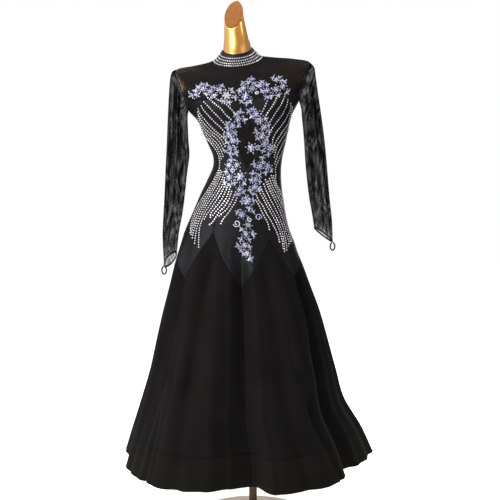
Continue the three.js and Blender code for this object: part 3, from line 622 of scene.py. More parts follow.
def woven_material(name, colour, roughness, pitch, relief, **inputs):
    """Cloth with a fine weave, faint unevenness and darker stitched seams."""
    material = new_material(name, colour, roughness, **inputs)
    weft = waves(material, 1, 0.25, pitch)
    warp = waves(material, 0.25, -1, pitch)
    weave = maths(material, "MULTIPLY", weft, warp)
    uneven = noise(material, 9, 4)
    grain = maths(material, "MULTIPLY_ADD", weave, 0.10, uneven)
    sewn = maths(material, "MULTIPLY", attribute(material, "seam"), 0.35)
    factor = maths(material, "SUBTRACT", grain, sewn)
    stops = ((0.12, shade(colour, 0.55)), (0.5, colour), (0.9, shade(colour, 1.35)))
    paint(material, factor, stops)
    row = waves(material, 0, 1, STITCH_LENGTH)
    stitches = maths(material, "MULTIPLY", row, attribute(material, "seam"))
    height = maths(material, "ADD", maths(material, "MULTIPLY", weave, 0.35), stitches)
    bump(material, height, relief, 0.8)
    return material


def net_material(name, colour, cover, watered, loose):
    """Sheer net: fine threads with clear holes, closer where it is gathered or sewn, and much
    thinner in the streak that paints a glint on the front yoke. cover is how much it hides,
    watered how strong its wavy bands are, and loose how uneven it is."""
    material = new_material(name, colour, 0.7, IOR=1.0, Specular_IOR_Level=0.0)
    one, other = (
        maths(material, "ABSOLUTE", waves(material, 1, lean, MESH_PITCH)) for lean in (1, -1)
    )
    threads = maths(material, "MAXIMUM", one, other)
    fine = maths(material, "MULTIPLY_ADD", threads, THREAD_COVER, cover - THREAD_BASE)
    loose = maths(material, "MULTIPLY_ADD", noise(material, 26, 2), loose, -loose / 2)
    place, stretched = node(material, "ShaderNodeTexCoord"), node(material, "ShaderNodeMapping")
    stretched.inputs["Scale"].default_value = (1, 1, CONTOUR_STRETCH)
    link(material, place.outputs["Object"], stretched.inputs[0])
    hills = noise(material, CONTOUR_SCALE, 1, stretched.outputs[0])
    contours = maths(material, "SINE", maths(material, "MULTIPLY", hills, CONTOUR_COUNT))
    watered = maths(material, "MULTIPLY", contours, watered)
    # Cover from the gather attribute: more where the net is gathered, and much less in the yoke's
    # streak that makes a painted glint.
    cover_change = maths(material, "MULTIPLY", attribute(material, "gather"), GATHER_AND_GLINT_COVER)
    sewn = maths(material, "MULTIPLY", attribute(material, "seam"), SEAM_COVER)
    total = fine
    for part in (loose, watered, cover_change, sewn):
        total = maths(material, "ADD", total, part)
    least = maths(material, "MAXIMUM", total, LEAST_COVER)
    factor = maths(material, "MINIMUM", least, MOST_COVER)
    clear = node(material, "ShaderNodeBsdfTransparent")
    both = node(material, "ShaderNodeMixShader")
    link(material, factor, both.inputs[0])
    link(material, clear.outputs[0], both.inputs[1])
    link(material, shader_of(material).outputs[0], both.inputs[2])
    out = material.node_tree.nodes["Material Output"]
    link(material, both.outputs[0], out.inputs["Surface"])
    bump(material, threads, 0.0003, 0.6)
    return material


def elastic_material():
    colour = bpy.context.scene.gown_colours.elastic
    material = new_material("elastic", colour, 0.75, Specular_IOR_Level=0.15, Sheen_Weight=0.04)
    bump(material, waves(material, 1, 0, 0.0012), 0.0002, 0.7)
    return material


def lace_material():
    material = new_material(
        "lace", (0.33, 0.35, 0.62), 0.55, Specular_IOR_Level=0.35, Sheen_Weight=0.15
    )
    stops = (
        (0.0, (0.86, 0.86, 0.88)), (0.22, (0.36, 0.38, 0.62)), (0.40, (0.15, 0.14, 0.36)),
        (0.58, (0.04, 0.03, 0.12)), (0.75, (0.34, 0.48, 0.66)), (1.0, (0.46, 0.41, 0.42)),
    )
    uneven = maths(material, "MULTIPLY_ADD", noise(material, 190, 1), 1.0, -0.5)
    paint(material, maths(material, "ADD", attribute(material, "tone"), uneven), stops)
    bump(material, noise(material, 900, 2), 0.0003, 0.7)
    return material


def stone_material():
    material = new_material("foiled stones", (0.9, 0.9, 0.96), 0.1, Metallic=0.2)
    stops = (
        (0.0, (1.0, 0.99, 0.92)), (0.25, (0.66, 0.62, 0.62)), (0.45, (1.0, 0.90, 0.95)),
        (0.70, (0.78, 0.78, 0.86)), (1.0, (1.0, 1.0, 0.95)),
    )
    paint(material, attribute(material, "tone"), stops)
    bump(material, noise(material, 500, 1), 0.0001, 0.2)
    return material


def hard_material(name, setting, roughness, tones, mottle, grain, **inputs):
    """A hard surface: how dark and light its colour gets, the scale and detail of that mottle, and
    the scale, depth and strength of its grain."""
    colour = getattr(bpy.context.scene.gown_colours, setting)
    material = new_material(name, colour, roughness, **inputs)
    dark, light = tones
    stops = ((0.3, shade(colour, dark)), (0.7, shade(colour, light)))
    paint(material, noise(material, *mottle), stops)
    scale, depth, strength = grain
    bump(material, noise(material, scale), depth, strength)
    return material


# ---- Settings ----


def colour_setting(name, description, default):
    return FloatVectorProperty(
        name=name, description=description, subtype="COLOR", size=3, min=0, max=1, default=default
    )


def size_setting(name, description, default):
    return FloatProperty(
        name=name, description=description, default=default, min=0.0002, max=0.01,
        unit="LENGTH", subtype="DISTANCE", precision=4,
    )


def power_setting(name, description, default):
    return FloatProperty(
        name=name, description=description, default=default, min=0, max=2000, unit="POWER"
    )


class GownSizes(bpy.types.PropertyGroup):
    """Thicknesses of the cloth and sizes of the stones."""

    jersey: size_setting("Jersey", "Thickness of the body's jersey", 0.0012)
    crepe: size_setting("Crepe", "Thickness of the godets' crepe", 0.0012)
    band: size_setting("Hem band", "Thickness of the stiffened hem band", 0.0022)
    net: size_setting("Net", "Thickness of the sheer net", 0.0006)
    stone: size_setting("Stone", "Width of a stone on the body", 0.0050)
    collar_stone: size_setting("Collar stone", "Width of a stone on the collar", 0.0043)


class GownColours(bpy.types.PropertyGroup):
    """Base colours of the cloth, form and stand."""

    jersey: colour_setting("Jersey", "Colour of the body's jersey", (0.0048, 0.0048, 0.0062))
    crepe: colour_setting("Crepe", "Colour of the godets", (0.0072, 0.0065, 0.0064))
    band: colour_setting("Hem band", "Colour of the hem band", (0.0080, 0.0071, 0.0068))
    net: colour_setting("Net", "Colour of the sheer net's threads", (0.0045, 0.0042, 0.0043))
    elastic: colour_setting("Elastic", "Colour of cuffs and finger loops", (0.009, 0.009, 0.010))
    form: colour_setting("Form", "Colour of the glossy gold form", (0.76, 0.36, 0.072))
    cap: colour_setting("Neck cap", "Colour of the plate on the neck", (0.25, 0.078, 0.003))
    stand: colour_setting("Stand", "Colour of the pole and base", (0.16, 0.115, 0.075))


class StageSettings(bpy.types.PropertyGroup):
    """Strength of the studio lights."""

    key: power_setting("Key light", "Power of the light at the front left", 150)
    fill: power_setting("Fill light", "Power of the light at the front right", 14)
    top: power_setting("Top light", "Power of the light above", 60)
    back: power_setting("Back light", "Power of the light behind", 60)


# ---- Operators ----


class Maker:
    bl_options = {"REGISTER", "UNDO"}


# The studio, in metres: half of the floor, each light's place and width, and the camera.
FLOOR_HALF, FLOOR_GLOW = 12, 0.90
LIGHTS = {
    "key": ((-2.3, -2.5, 2.7), 2.2), "fill": ((2.6, -2.2, 1.6), 2.0),
    "top": ((0, 0.2, 3.6), 2.4), "back": ((0.5, 3.2, 2.2), 2.6),
}
LIGHTS_AIM = (-0.03, 0, 0.95)
CAMERA = {"place": (-0.0101, -2.9217, 1.0491), "tilt": 3.0004, "lens": 63.675, "sensor": 36}
# The room round the gown, from left to right: place and brightness. Then its strength as light
# and in reflections.
WALLS = ((0, 1), (0.3, 0.34), (0.62, 0.24), (1, 0.42))
ROOM_LIGHT, ROOM_REFLECTED = 0.55, 1.0


class GOWN_OT_stage(Maker, bpy.types.Operator):
    """Makes the floor, studio light and camera"""

    bl_idname = "gown.stage"
    bl_label = "Stage"

    def execute(self, context):
        scene = context.scene
        self.make_world(scene)
        half = FLOOR_HALF / MM
        corners = [(-half, -half, 0), (half, -half, 0), (half, half, 0), (-half, half, 0)]
        surface = new_material("floor", (0.88, 0.88, 0.88), 0.8, Specular_IOR_Level=0.1)
        shader = shader_of(surface)
        shader.inputs["Emission Color"].default_value = (1, 1, 1, 1)
        seen = node(surface, "ShaderNodeLightPath").outputs["Is Camera Ray"]
        glow = maths(surface, "MULTIPLY", seen, FLOOR_GLOW)
        link(surface, glow, shader.inputs["Emission Strength"])
        make_piece("floor", corners, [(0, 1, 2, 3)], surface)
        for name, (place, size) in LIGHTS.items():
            self.make_light(name, place, size, getattr(scene.gown_stage, name))
        camera_data = bpy.data.cameras.new("camera")
        camera_data.lens = CAMERA["lens"]
        camera_data.sensor_width = CAMERA["sensor"]
        camera = bpy.data.objects.new("camera", camera_data)
        scene.collection.objects.link(camera)
        camera.location = CAMERA["place"]
        camera.rotation_euler = (math.radians(90 - CAMERA["tilt"]), 0, 0)
        scene.camera = camera
        scene.view_settings.view_transform = "Standard"
        return {"FINISHED"}

    def make_light(self, name, place, size, power):
        data = bpy.data.lights.new(name, "AREA")
        data.shape = "SQUARE"
        data.size = size
        data.energy = power
        lamp = bpy.data.objects.new(name, data)
        bpy.context.collection.objects.link(lamp)
        lamp.location = place
        aim = lamp.location - Vector(LIGHTS_AIM)
        lamp.rotation_euler = aim.to_track_quat("Z", "Y").to_euler()

    def make_world(self, scene):
        """White to the camera. To everything else it is a room that is bright at the left and
        darker elsewhere, at full strength in reflections only."""
        world = bpy.data.worlds.new("studio")
        world.use_nodes = True
        scene.world = world
        tree = world.node_tree
        tree.nodes.clear()
        new = lambda kind: tree.nodes.new(f"ShaderNode{kind}")
        join = tree.links.new
        parts, side, walls = new("SeparateXYZ"), new("MapRange"), new("ValToRGB")
        join(new("TexCoord").outputs["Generated"], parts.inputs[0])
        side.inputs[1].default_value = -1
        join(parts.outputs[0], side.inputs[0])
        join(side.outputs[0], walls.inputs[0])
        elements = walls.color_ramp.elements
        for place, _ in WALLS[1:-1]:
            elements.new(place)
        for element, (_, white) in zip(elements, WALLS):
            element.color = (white, white, white, 1)
        paths, strength, dimmed = new("LightPath"), new("MapRange"), new("Math")
        strength.inputs[3].default_value = ROOM_LIGHT
        strength.inputs[4].default_value = ROOM_REFLECTED
        join(paths.outputs["Is Glossy Ray"], strength.inputs[0])
        dimmed.operation = "MULTIPLY"
        join(walls.outputs[0], dimmed.inputs[0])
        join(strength.outputs[0], dimmed.inputs[1])
        room, plain, choose = new("Background"), new("Background"), new("MixShader")
        for background in (room, plain):
            background.inputs[0].default_value = (1, 1, 1, 1)
        join(dimmed.outputs[0], room.inputs[1])
        join(paths.outputs["Is Camera Ray"], choose.inputs[0])
        join(room.outputs[0], choose.inputs[1])
        join(plain.outputs[0], choose.inputs[2])
        join(choose.outputs[0], new("OutputWorld").inputs[0])


# The form's underside, from its middle out: rise in millimetres and share of the foot's outline.
FORM_UNDERSIDE = ((0, 0.02), (0, 0.6), (0, 0.955), (1.5, 0.985), (4, 1.0))
# The plate on the neck's cut: share of the cut's outline, and millimetres above it.
CAP_PROFILE = (
    (0.5, 0.35), (0.93, 0.35), (0.955, 0.5), (0.962, 0.9), (0.962, 1.7),
    (0.955, 2.1), (0.94, 2.3), (0.6, 2.32), (0.2, 2.35), (0.02, 2.35),
)
FORM_START = 9  # the level where the form starts to follow the dress


class GOWN_OT_form(Maker, bpy.types.Operator):
    """Makes the gold form with its neck, and the plate on the neck's sloping cut"""

    bl_idname = "gown.form"
    bl_label = "Form"

    def execute(self, context):
        rows = [self.bottom_ring(rise, share) for rise, share in FORM_UNDERSIDE]
        base = [self.base_ring(position) for position in np.linspace(0.15, 2, 9)]
        first = form_ring(FORM_START)
        rows += base + [mix(base[-1], first, share) for share in (0.25, 0.5, 0.75)]
        rows += [form_ring(level) for level in np.linspace(FORM_START, COLLAR_TOP, 190)]
        neck = neck_rings(26)
        middle = neck[-1].mean(0)
        closing = [mix(middle, neck[-1], share) - CUT_NORMAL * 0.1 for share in (0.985, 0.6)]
        rows = np.array(rows + neck + closing)
        gold = hard_material(
            "gold_form", "form", 0.34, (0.93, 1.05), (14, 4), (60, 0.0003, 0.25),
            Metallic=0.72, Coat_Weight=0.7, Coat_Roughness=0.22,
        )
        faces = grid_faces(*rows.shape[:2], True)
        torso = make_piece("form_torso-gold", rows, faces, gold)
        stand_for(torso, "form_torso")
        cut = np.array([
            mix(middle, neck[-1], share) + CUT_NORMAL * up for share, up in CAP_PROFILE
        ])
        plate = hard_material(
            "gold_cap", "cap", 0.6, (0.85, 1.1), (70, 5), (400, 0.0002, 0.5),
            Specular_IOR_Level=0.3,
        )
        cap = make_piece("neck_cap-plate", cut, grid_faces(*cut.shape[:2], True), plate)
        stand_for(cap, "neck_cap")
        return {"FINISHED"}

    def base_ring(self, position):
        z, x, y, width, front, back = (curve_through(FORM_BASE[:, i], position) for i in range(6))
        angle, side = FORM_ANGLES
        depth = np.where(side < 0, front, back)
        along, deep = np.sin(angle * RAD), np.cos(angle * RAD)
        return np.stack([x + width * along, y - depth * deep, np.full(angle.shape, float(z))], -1)

    def bottom_ring(self, rise, share):
        middle = np.array([*FORM_BASE[0, 1:3], FORM_BASE[0, 0]])
        return mix(middle, self.base_ring(0), share) + (0, 0, rise)


# The form below the dress's hips, and its neck. Each row has z, the middle's x and y, then half of
# the width and the depths in front and behind, or the neck's radius.
FORM_BASE = np.array([
    (835, -40, 0, 146, 90, 98), (865, -42, 0, 157, 96, 105), (905, -43, -1, 165, 102, 112),
], float)
FORM_NECK = np.array([
    (1556, -51.5, -2, 45.2), (1575, -54, -3, 40.5), (1600, -57.5, -6, 36.5),
    (1635, -61, -9, 33), (1675, -64, -11, 31.2), (1714, -65.5, -12, 30),
], float)
NECK_CUT = {"z": 1663.4, "slope": 1.7, "left": 0.35, "front": 0.94}
CUT_NORMAL = unit(np.array([-0.595, -1.598, 1.0]))
HALF_COLUMNS = 61
FORM_ANGLES = (
    np.concatenate([np.linspace(start, start + 180, HALF_COLUMNS) for start in (-90, 90)]),
    np.repeat([-1, 1], HALF_COLUMNS),
)
# Low ridges round the form's shoulders and collarbones.
FORM_RIDGES = (
    (-3.0, 4, ((-89, 22.6), (-71, 22.3), (-65, 21.5), (-63.7, 20.6))),
    (-2.6, 4, ((77, 22.6), (70, 22), (66, 21.3), (64, 20.6))),
    (-1.0, 5, ((-5.6, 24.9), (-3.2, 23.2), (-2.9, 22.1))),
    (-1.0, 5, ((-15.2, 24.9), (-9.9, 23), (-11.1, 22.2))),
    (-1.0, 5, ((14, 24.8), (10, 23), (12, 22.2))),
    (1.4, 7, ((0, 24.6), (0, 23), (0, 21.6))),
    (1.2, 3, ((-1.5, 19.5), (-1.5, 16), (-1, 13))),
)
# Round the neck: angle at its foot, turn on the way up, how far the surface stands out, spread.
NECK_RIDGES = (
    (34, 10, 4.4, 6.5), (21, 10, -1.8, 7), (50, 10, -2.4, 8), (-60, 0, 0.8, 16),
    (150, 8, 0.8, 20), (-150, -8, 0.8, 20),
)


# Millimetres of the form's face under the dress's, below the neck's foot and in the collar, how
# far its shoulders lie under the yoke, and half of its least depth at the shoulders and above.
BODY_INSET, NECK_INSET, SHOULDER_DROP = 4.5, 2.75, 3
LEAST_HALF_DEPTH, NECK_HALF_DEPTH = 3, 0.05


def form_ring(level):
    """The form's section at one level of the dress."""
    angle, side = FORM_ANGLES
    level = np.full(angle.shape, float(level))
    inset = np.interp(level, (NECK - 1, NECK), (BODY_INSET, NECK_INSET))
    points = dress_point(angle, level, side, ARM_PLATE, FORM_RIDGES)
    points = points - dress_normal(angle, level, side, ARM_PLATE, FORM_RIDGES) * inset[..., None]
    under_yoke = np.clip(np.minimum(level - (SHOULDER - 1), NECK - level), 0, 1)
    points[..., 2] -= SHOULDER_DROP * under_yoke
    middle = dress_section(level)["y"]
    flat = np.where(level > SHOULDER + 1, NECK_HALF_DEPTH, LEAST_HALF_DEPTH)
    y = points[..., 1]
    points[..., 1] = np.where(side < 0, np.minimum(y, middle - flat), np.maximum(y, middle + flat))
    return points


def neck_ring(position):
    z, x, y, half = (curve_through(FORM_NECK[:, i], position) for i in range(4))
    angle, _ = FORM_ANGLES
    started = smooth(position / 1.6)
    for foot, turn, out, spread in NECK_RIDGES:
        away = (angle - foot - turn * position / 5 + 180) % 360 - 180
        half = half + out * started * bell(away, 0, spread)
    t = angle * RAD
    return np.stack([x + half * np.sin(t), y - half * np.cos(t), z + 0 * t], -1)


def cut_height(points):
    top = FORM_NECK[-1]
    left, front = points[..., 0] - (top[1] + 2), points[..., 1] - (top[2] + 1)
    fall = NECK_CUT["left"] * left + NECK_CUT["front"] * front
    return NECK_CUT["z"] + NECK_CUT["slope"] * fall


def neck_rings(steps):
    """The neck's rings, which close up towards its sloping cut."""
    last = len(FORM_NECK) - 1
    low, high = FORM_NECK[0, 0], FORM_NECK[-1, 0]
    start = form_ring(COLLAR_TOP)
    rings = []
    for share in np.arange(1, steps + 1) / steps:
        end = cut_height(neck_ring(last * share * 0.75))
        height = mix(start[:, 2], end, share)
        position = last * np.clip((height - low) / (high - low), 0, 1)
        ring = np.array([neck_ring(p)[i] for i, p in enumerate(position)])
        blend = smooth(share * 4)
        ring[:, :2] = mix(start[:, :2], ring[:, :2], blend)
        ring[:, 2] = cut_height(ring) if share == 1 else height
        rings.append(ring)
    return rings


class GOWN_OT_stand(Maker, bpy.types.Operator):
    """Makes the pole, its socket, the hub and the base plate"""

    bl_idname = "gown.stand"
    bl_label = "Stand"

    # Radius and height of each profile's points.
    PROFILES = {
        "pole": (
            (0.5, 8.3), (12, 8.3), (13, 9.3), (13, 300), (13, 600), (13, 833.7), (12, 834.7),
            (0.5, 834.7),
        ),
        "base_hub": (
            (13.3, 8.3), (27, 8.3), (28, 9.3), (28, 12), (24.5, 15), (23.6, 20), (23.6, 37.5),
            (24, 39), (23, 41.5), (21.5, 42.3), (14.3, 42.3), (13.3, 41.3), (13.3, 8.3),
        ),
        "pole_socket": (
            (13.3, 787.7), (14.3, 786.7), (21, 786.7), (22.5, 787.5), (23, 790), (23.4, 822),
            (25.4, 826), (26, 829), (26, 834.2), (25.5, 834.7), (13.3, 834.7), (13.3, 787.7),
        ),
        "base_plate": (
            (0.5, 0), (186, 0), (188.6, 0.5), (190, 2), (190, 5), (189.2, 6.8), (186.6, 7.8),
            (184, 8), (60, 8), (0.5, 8),
        ),
    }
    COLUMNS = 96

    def execute(self, context):
        metal = hard_material(
            "stand_metal", "stand", 0.35, (0.85, 1.12), (30, 5), (350, 0.0001, 0.4), Metallic=1.0
        )
        turn = np.linspace(0, 2 * np.pi, self.COLUMNS, endpoint=False)
        for name, profile in self.PROFILES.items():
            rows = np.array([
                np.stack([r * np.sin(turn), -r * np.cos(turn), z + 0 * turn], -1)
                for r, z in profile
            ])
            faces = grid_faces(*rows.shape[:2], True)
            piece = make_piece(f"{name}-metal", rows, faces, metal)
            shading = piece.modifiers.new("even shading", "WEIGHTED_NORMAL")
            shading.keep_sharp = True
            stand_for(piece, name)
        return {"FINISHED"}


# Each gore's middle line, which half of it the piece is, and its columns.
GORES = {
    "front_left": (0, -1, 44), "front_right": (0, 1, 44),
    "side_front_left": (-1, 0, 60), "side_front_right": (1, 0, 60),
    "side_back_left": (-2, 0, 60), "side_back_right": (2, 0, 60),
    "back_left": (3, 1, 44), "back_right": (3, -1, 44),
}


GORE_ROWS, NECKLINE_ROWS = 120, 14
INSERT_INSET = 1.7  # millimetres of the keyhole's net behind the dress's outer face


class GOWN_OT_body(Maker, bpy.types.Operator):
    """Makes the body's eight jersey gores and the net in the keyhole"""

    bl_idname = "gown.body"
    bl_label = "Body"

    def execute(self, context):
        sizes, tints = context.scene.gown_sizes, context.scene.gown_colours
        jersey = woven_material(
            "stretch_jersey", tints.jersey, 0.5, 0.0016, 0.0002,
            IOR=1.25, Sheen_Weight=0.02, Sheen_Roughness=0.45,
        )
        for name, (middle, half, columns) in GORES.items():
            across = edge_shares(columns)
            angles, levels = [], []
            for level in mix(GORE_POINT, KEYHOLE_TOP, np.linspace(0, 1, GORE_ROWS)):
                angles.append(self.row_angles(middle, half, level, across))
                levels.append(np.full(columns, level))
            row = self.row_angles(middle, half, ARMPIT, across)
            for share in np.linspace(0, 1, NECKLINE_ROWS)[1:]:
                angles.append(row)
                levels.append(mix(KEYHOLE_TOP, neckline_level(row), share))
            angle, level = np.array(angles), np.array(levels)
            points, values = cloth_grid(
                dress_point(angle, level), dress_normal(angle, level), ["first", "last", "top"]
            )
            make_cloth(
                name, "jersey", points, jersey, values, sizes.jersey,
                ["form_torso-gold"],
            )
        tint = shade(tints.net, 3.0)
        self.make_insert(sizes.net, net_material("sheer yoke net", tint, 0.76, 0.0, 0.12))
        return {"FINISHED"}

    def row_angles(self, middle, half, level, across):
        level = float(level)
        first, last = gore_edge(middle, level, -1), gore_edge(middle, level, 1)
        if half:
            opening = keyhole_half(level) if middle == 0 else 0
            inner = middle_angle(middle, level) + half * opening
            first, last = (inner, last) if half > 0 else (first, inner)
        return mix(first, last, across)

    def make_insert(self, thickness, net):
        level = mix(KEYHOLE_BOTTOM - 0.2, KEYHOLE_TOP - 0.01, np.linspace(0, 1, 70))[:, None]
        angle = (keyhole_half(level) * 1.04 + 1.3) * np.linspace(-1, 1, 26)
        level = level + 0 * angle
        normals = dress_normal(angle, level)
        points, values = cloth_grid(dress_point(angle, level) - normals * INSERT_INSET, normals, [])
        make_cloth(
            "keyhole_insert", "net", points, net, values, thickness,
            ["form_torso-gold"],
        )


# Each godet and the two gores that it is sewn to.
GODETS = {
    "front_right": ("front_right", "side_front_right"),
    "side_right": ("side_front_right", "side_back_right"),
    "back_right": ("side_back_right", "back_right"),
    "back_left": ("back_left", "side_back_left"),
    "side_left": ("side_back_left", "side_front_left"),
    "front_left": ("side_front_left", "front_left"),
}
GODET_ROWS, GODET_COLUMNS = 106, 96
# The hem band's rows as shares of its height, closer together at both edges, and the millimetres
# from the hem at which rows of stitches run along it.
BAND_ROWS = np.array([0, 0.01, 0.02, 0.035, 0.06, *np.linspace(0.1, 0.96, 15), 0.985, 1])
BAND_STITCHES = (8, 20, 32, 44, 56, 68, 80)


class GOWN_OT_skirt(Maker, bpy.types.Operator):
    """Makes the six godets and the stiffened band round each one's hem"""

    bl_idname = "gown.skirt"
    bl_label = "Skirt"

    def execute(self, context):
        sizes, tints = context.scene.gown_sizes, context.scene.gown_colours
        crepe, braid = (
            woven_material(
                name, colour, 0.85, 0.0011, 0.00015,
                IOR=1.14, Sheen_Weight=sheen, Sheen_Roughness=0.5,
            )
            for name, colour, sheen in (
                ("skirt_crepe", tints.crepe, 0.012), ("hem_braid", tints.band, 0.015)
            )
        )
        across = edge_shares(GODET_COLUMNS)
        for k, (name, gores) in enumerate(GODETS.items()):
            level = mix(HEM_BAND, GODET_TOP, np.linspace(0, 1, GODET_ROWS))[:, None]
            angle, level = self.row_angles(k, level, across)
            points, values = cloth_grid(
                dress_point(angle, level), dress_normal(angle, level), ["first", "last"], 0.8
            )
            cloth = make_cloth(
                f"godet_{name}", "crepe", points, crepe, values, sizes.crepe,
                [f"{gore}-jersey" for gore in gores],
            )
            self.make_band(k, name, across, sizes.band, braid, cloth)
        return {"FINISHED"}

    def row_angles(self, k, level, across):
        half = GORE_HALF - np.where(level < GORE_POINT, 0, gore_half(level))
        half = np.maximum(half, 0.05)
        return seam_angle(k, GODET_TOP) + half * (2 * across - 1), level + 0 * across

    def make_band(self, k, name, across, thickness, braid, cloth):
        level = mix(HEM, HEM_BAND, BAND_ROWS)
        angle, level = self.row_angles(k, level[:, None], across)
        normals = dress_normal(angle, np.maximum(level, 0.03))
        up = lengths(dress_point(angle, level), 0)
        rolled = 0.7 * np.exp(-((up - 2.2) ** 2) / 4) - 0.5 * np.exp(-(up**2) / 1.2)
        rows = sum(0.16 * bell(up, at, 0.9) for at in BAND_STITCHES)
        points = dress_point(angle, level) + normals * (rolled - rows + 0.1)[..., None]
        points, values = cloth_grid(points, normals, ["first", "last"], 0.7)
        values["seam"] = np.maximum(values["seam"], rows)
        make_cloth(
            f"hem_band_{name}", "braid", points, braid, values, thickness,
            [cloth],
        )


# Points of the collar's rounded rim and foot: level, millimetres inwards, millimetres up.
COLLAR_RIM = (
    (27.97, 0.15, 0.3), (28, 0.5, 0.75), (28, 1.0, 0.95), (28, 1.5, 0.75), (27.97, 1.85, 0.3)
)
COLLAR_FOOT = ((NECK + 0.02, 1.5, -0.2), (NECK + 0.01, 1.0, -0.2), (NECK + 0.02, 0.4, -0.2))
COLLAR_COLUMNS = 160


class GOWN_OT_yoke(Maker, bpy.types.Operator):
    """Makes the sheer front and back yokes and the stand collar"""

    bl_idname = "gown.yoke"
    bl_label = "Yoke and collar"

    def execute(self, context):
        sizes, tints = context.scene.gown_sizes, context.scene.gown_colours
        net = bpy.data.materials["sheer yoke net"]
        for name, middle, side in (("yoke_front", 0, -1), ("yoke_back", 180, 1)):
            angle = middle + mix(-90, 90, edge_shares(120))
            rising = (1 - np.cos(np.linspace(0, np.pi, 34))) / 2
            low = mix(neckline_level(angle), SHOULDER, rising[:, None])
            high = np.linspace(SHOULDER, NECK, 30)[1:, None] + 0 * angle
            level = np.concatenate([low, high])
            angle = angle + 0 * level
            points, values = cloth_grid(
                dress_point(angle, level, side), dress_normal(angle, level, side),
                ["bottom", "first", "last"], 0.5,
            )
            # This attribute also carries the front's painted glint, a streak of much thinner net.
            values["gather"] = self.cover_change(lengths(points, 1), level, name == "yoke_front")
            make_cloth(
                name, "net", points, net, values, sizes.net,
                ["form_torso-gold"],
            )
        self.make_collar(tints)
        return {"FINISHED"}

    def cover_change(self, run, level, in_front):
        """Closer net near the neck, and thinner net beside the armholes, where more of the gold
        form shows through. On the front, a narrow streak of much thinner net beside the left
        armhole is a
        painted glint: the gold shows through it as a highlight. run is the distance along each row."""
        away = np.minimum(run, run[:, -1:] - run)
        beside = smooth((level - 20.6) / 0.8) * smooth((25 - level) / 1.4)
        # Painted glint: a narrow streak of much thinner net, so the gold beneath shows as a
        # highlight.
        painted_glint = 1.9 * bell(run, 11, 5) * in_front
        # stretched holds the thinner net beside both armholes and the painted glint on the front.
        stretched = beside * (0.55 * bell(away, 0, 30) + painted_glint)
        return 0.5 * smooth((level - 24.5) / 1.2) - stretched

    def make_collar(self, tints):
        band = woven_material(
            "studded_collar", tints.jersey, 0.5, 0.0014, 0.0002,
            Specular_IOR_Level=0.2, Sheen_Weight=0.05,
        )
        foot, top = NECK + 0.06, COLLAR_TOP - 0.1
        outer = [(level, 0, 0) for level in np.linspace(foot, top, 18)]
        inner = [(level, 2, 0) for level in np.linspace(top, foot, 6)]
        angle = np.linspace(-180, 180, COLLAR_COLUMNS, endpoint=False)
        rows = []
        for level, inset, rise in [*outer, *COLLAR_RIM, *inner, *COLLAR_FOOT, outer[0]]:
            levels = np.full(angle.shape, level)
            normals = dress_normal(angle, np.minimum(levels, 27.96))
            rows.append(dress_point(angle, levels) - normals * inset + (0, 0, rise))
        rows = np.array(rows)
        faces = grid_faces(*rows.shape[:2], True)
        piece = make_piece("collar-band", rows, faces, band, cloth_coordinates(rows))
        stand_for(piece, "collar")


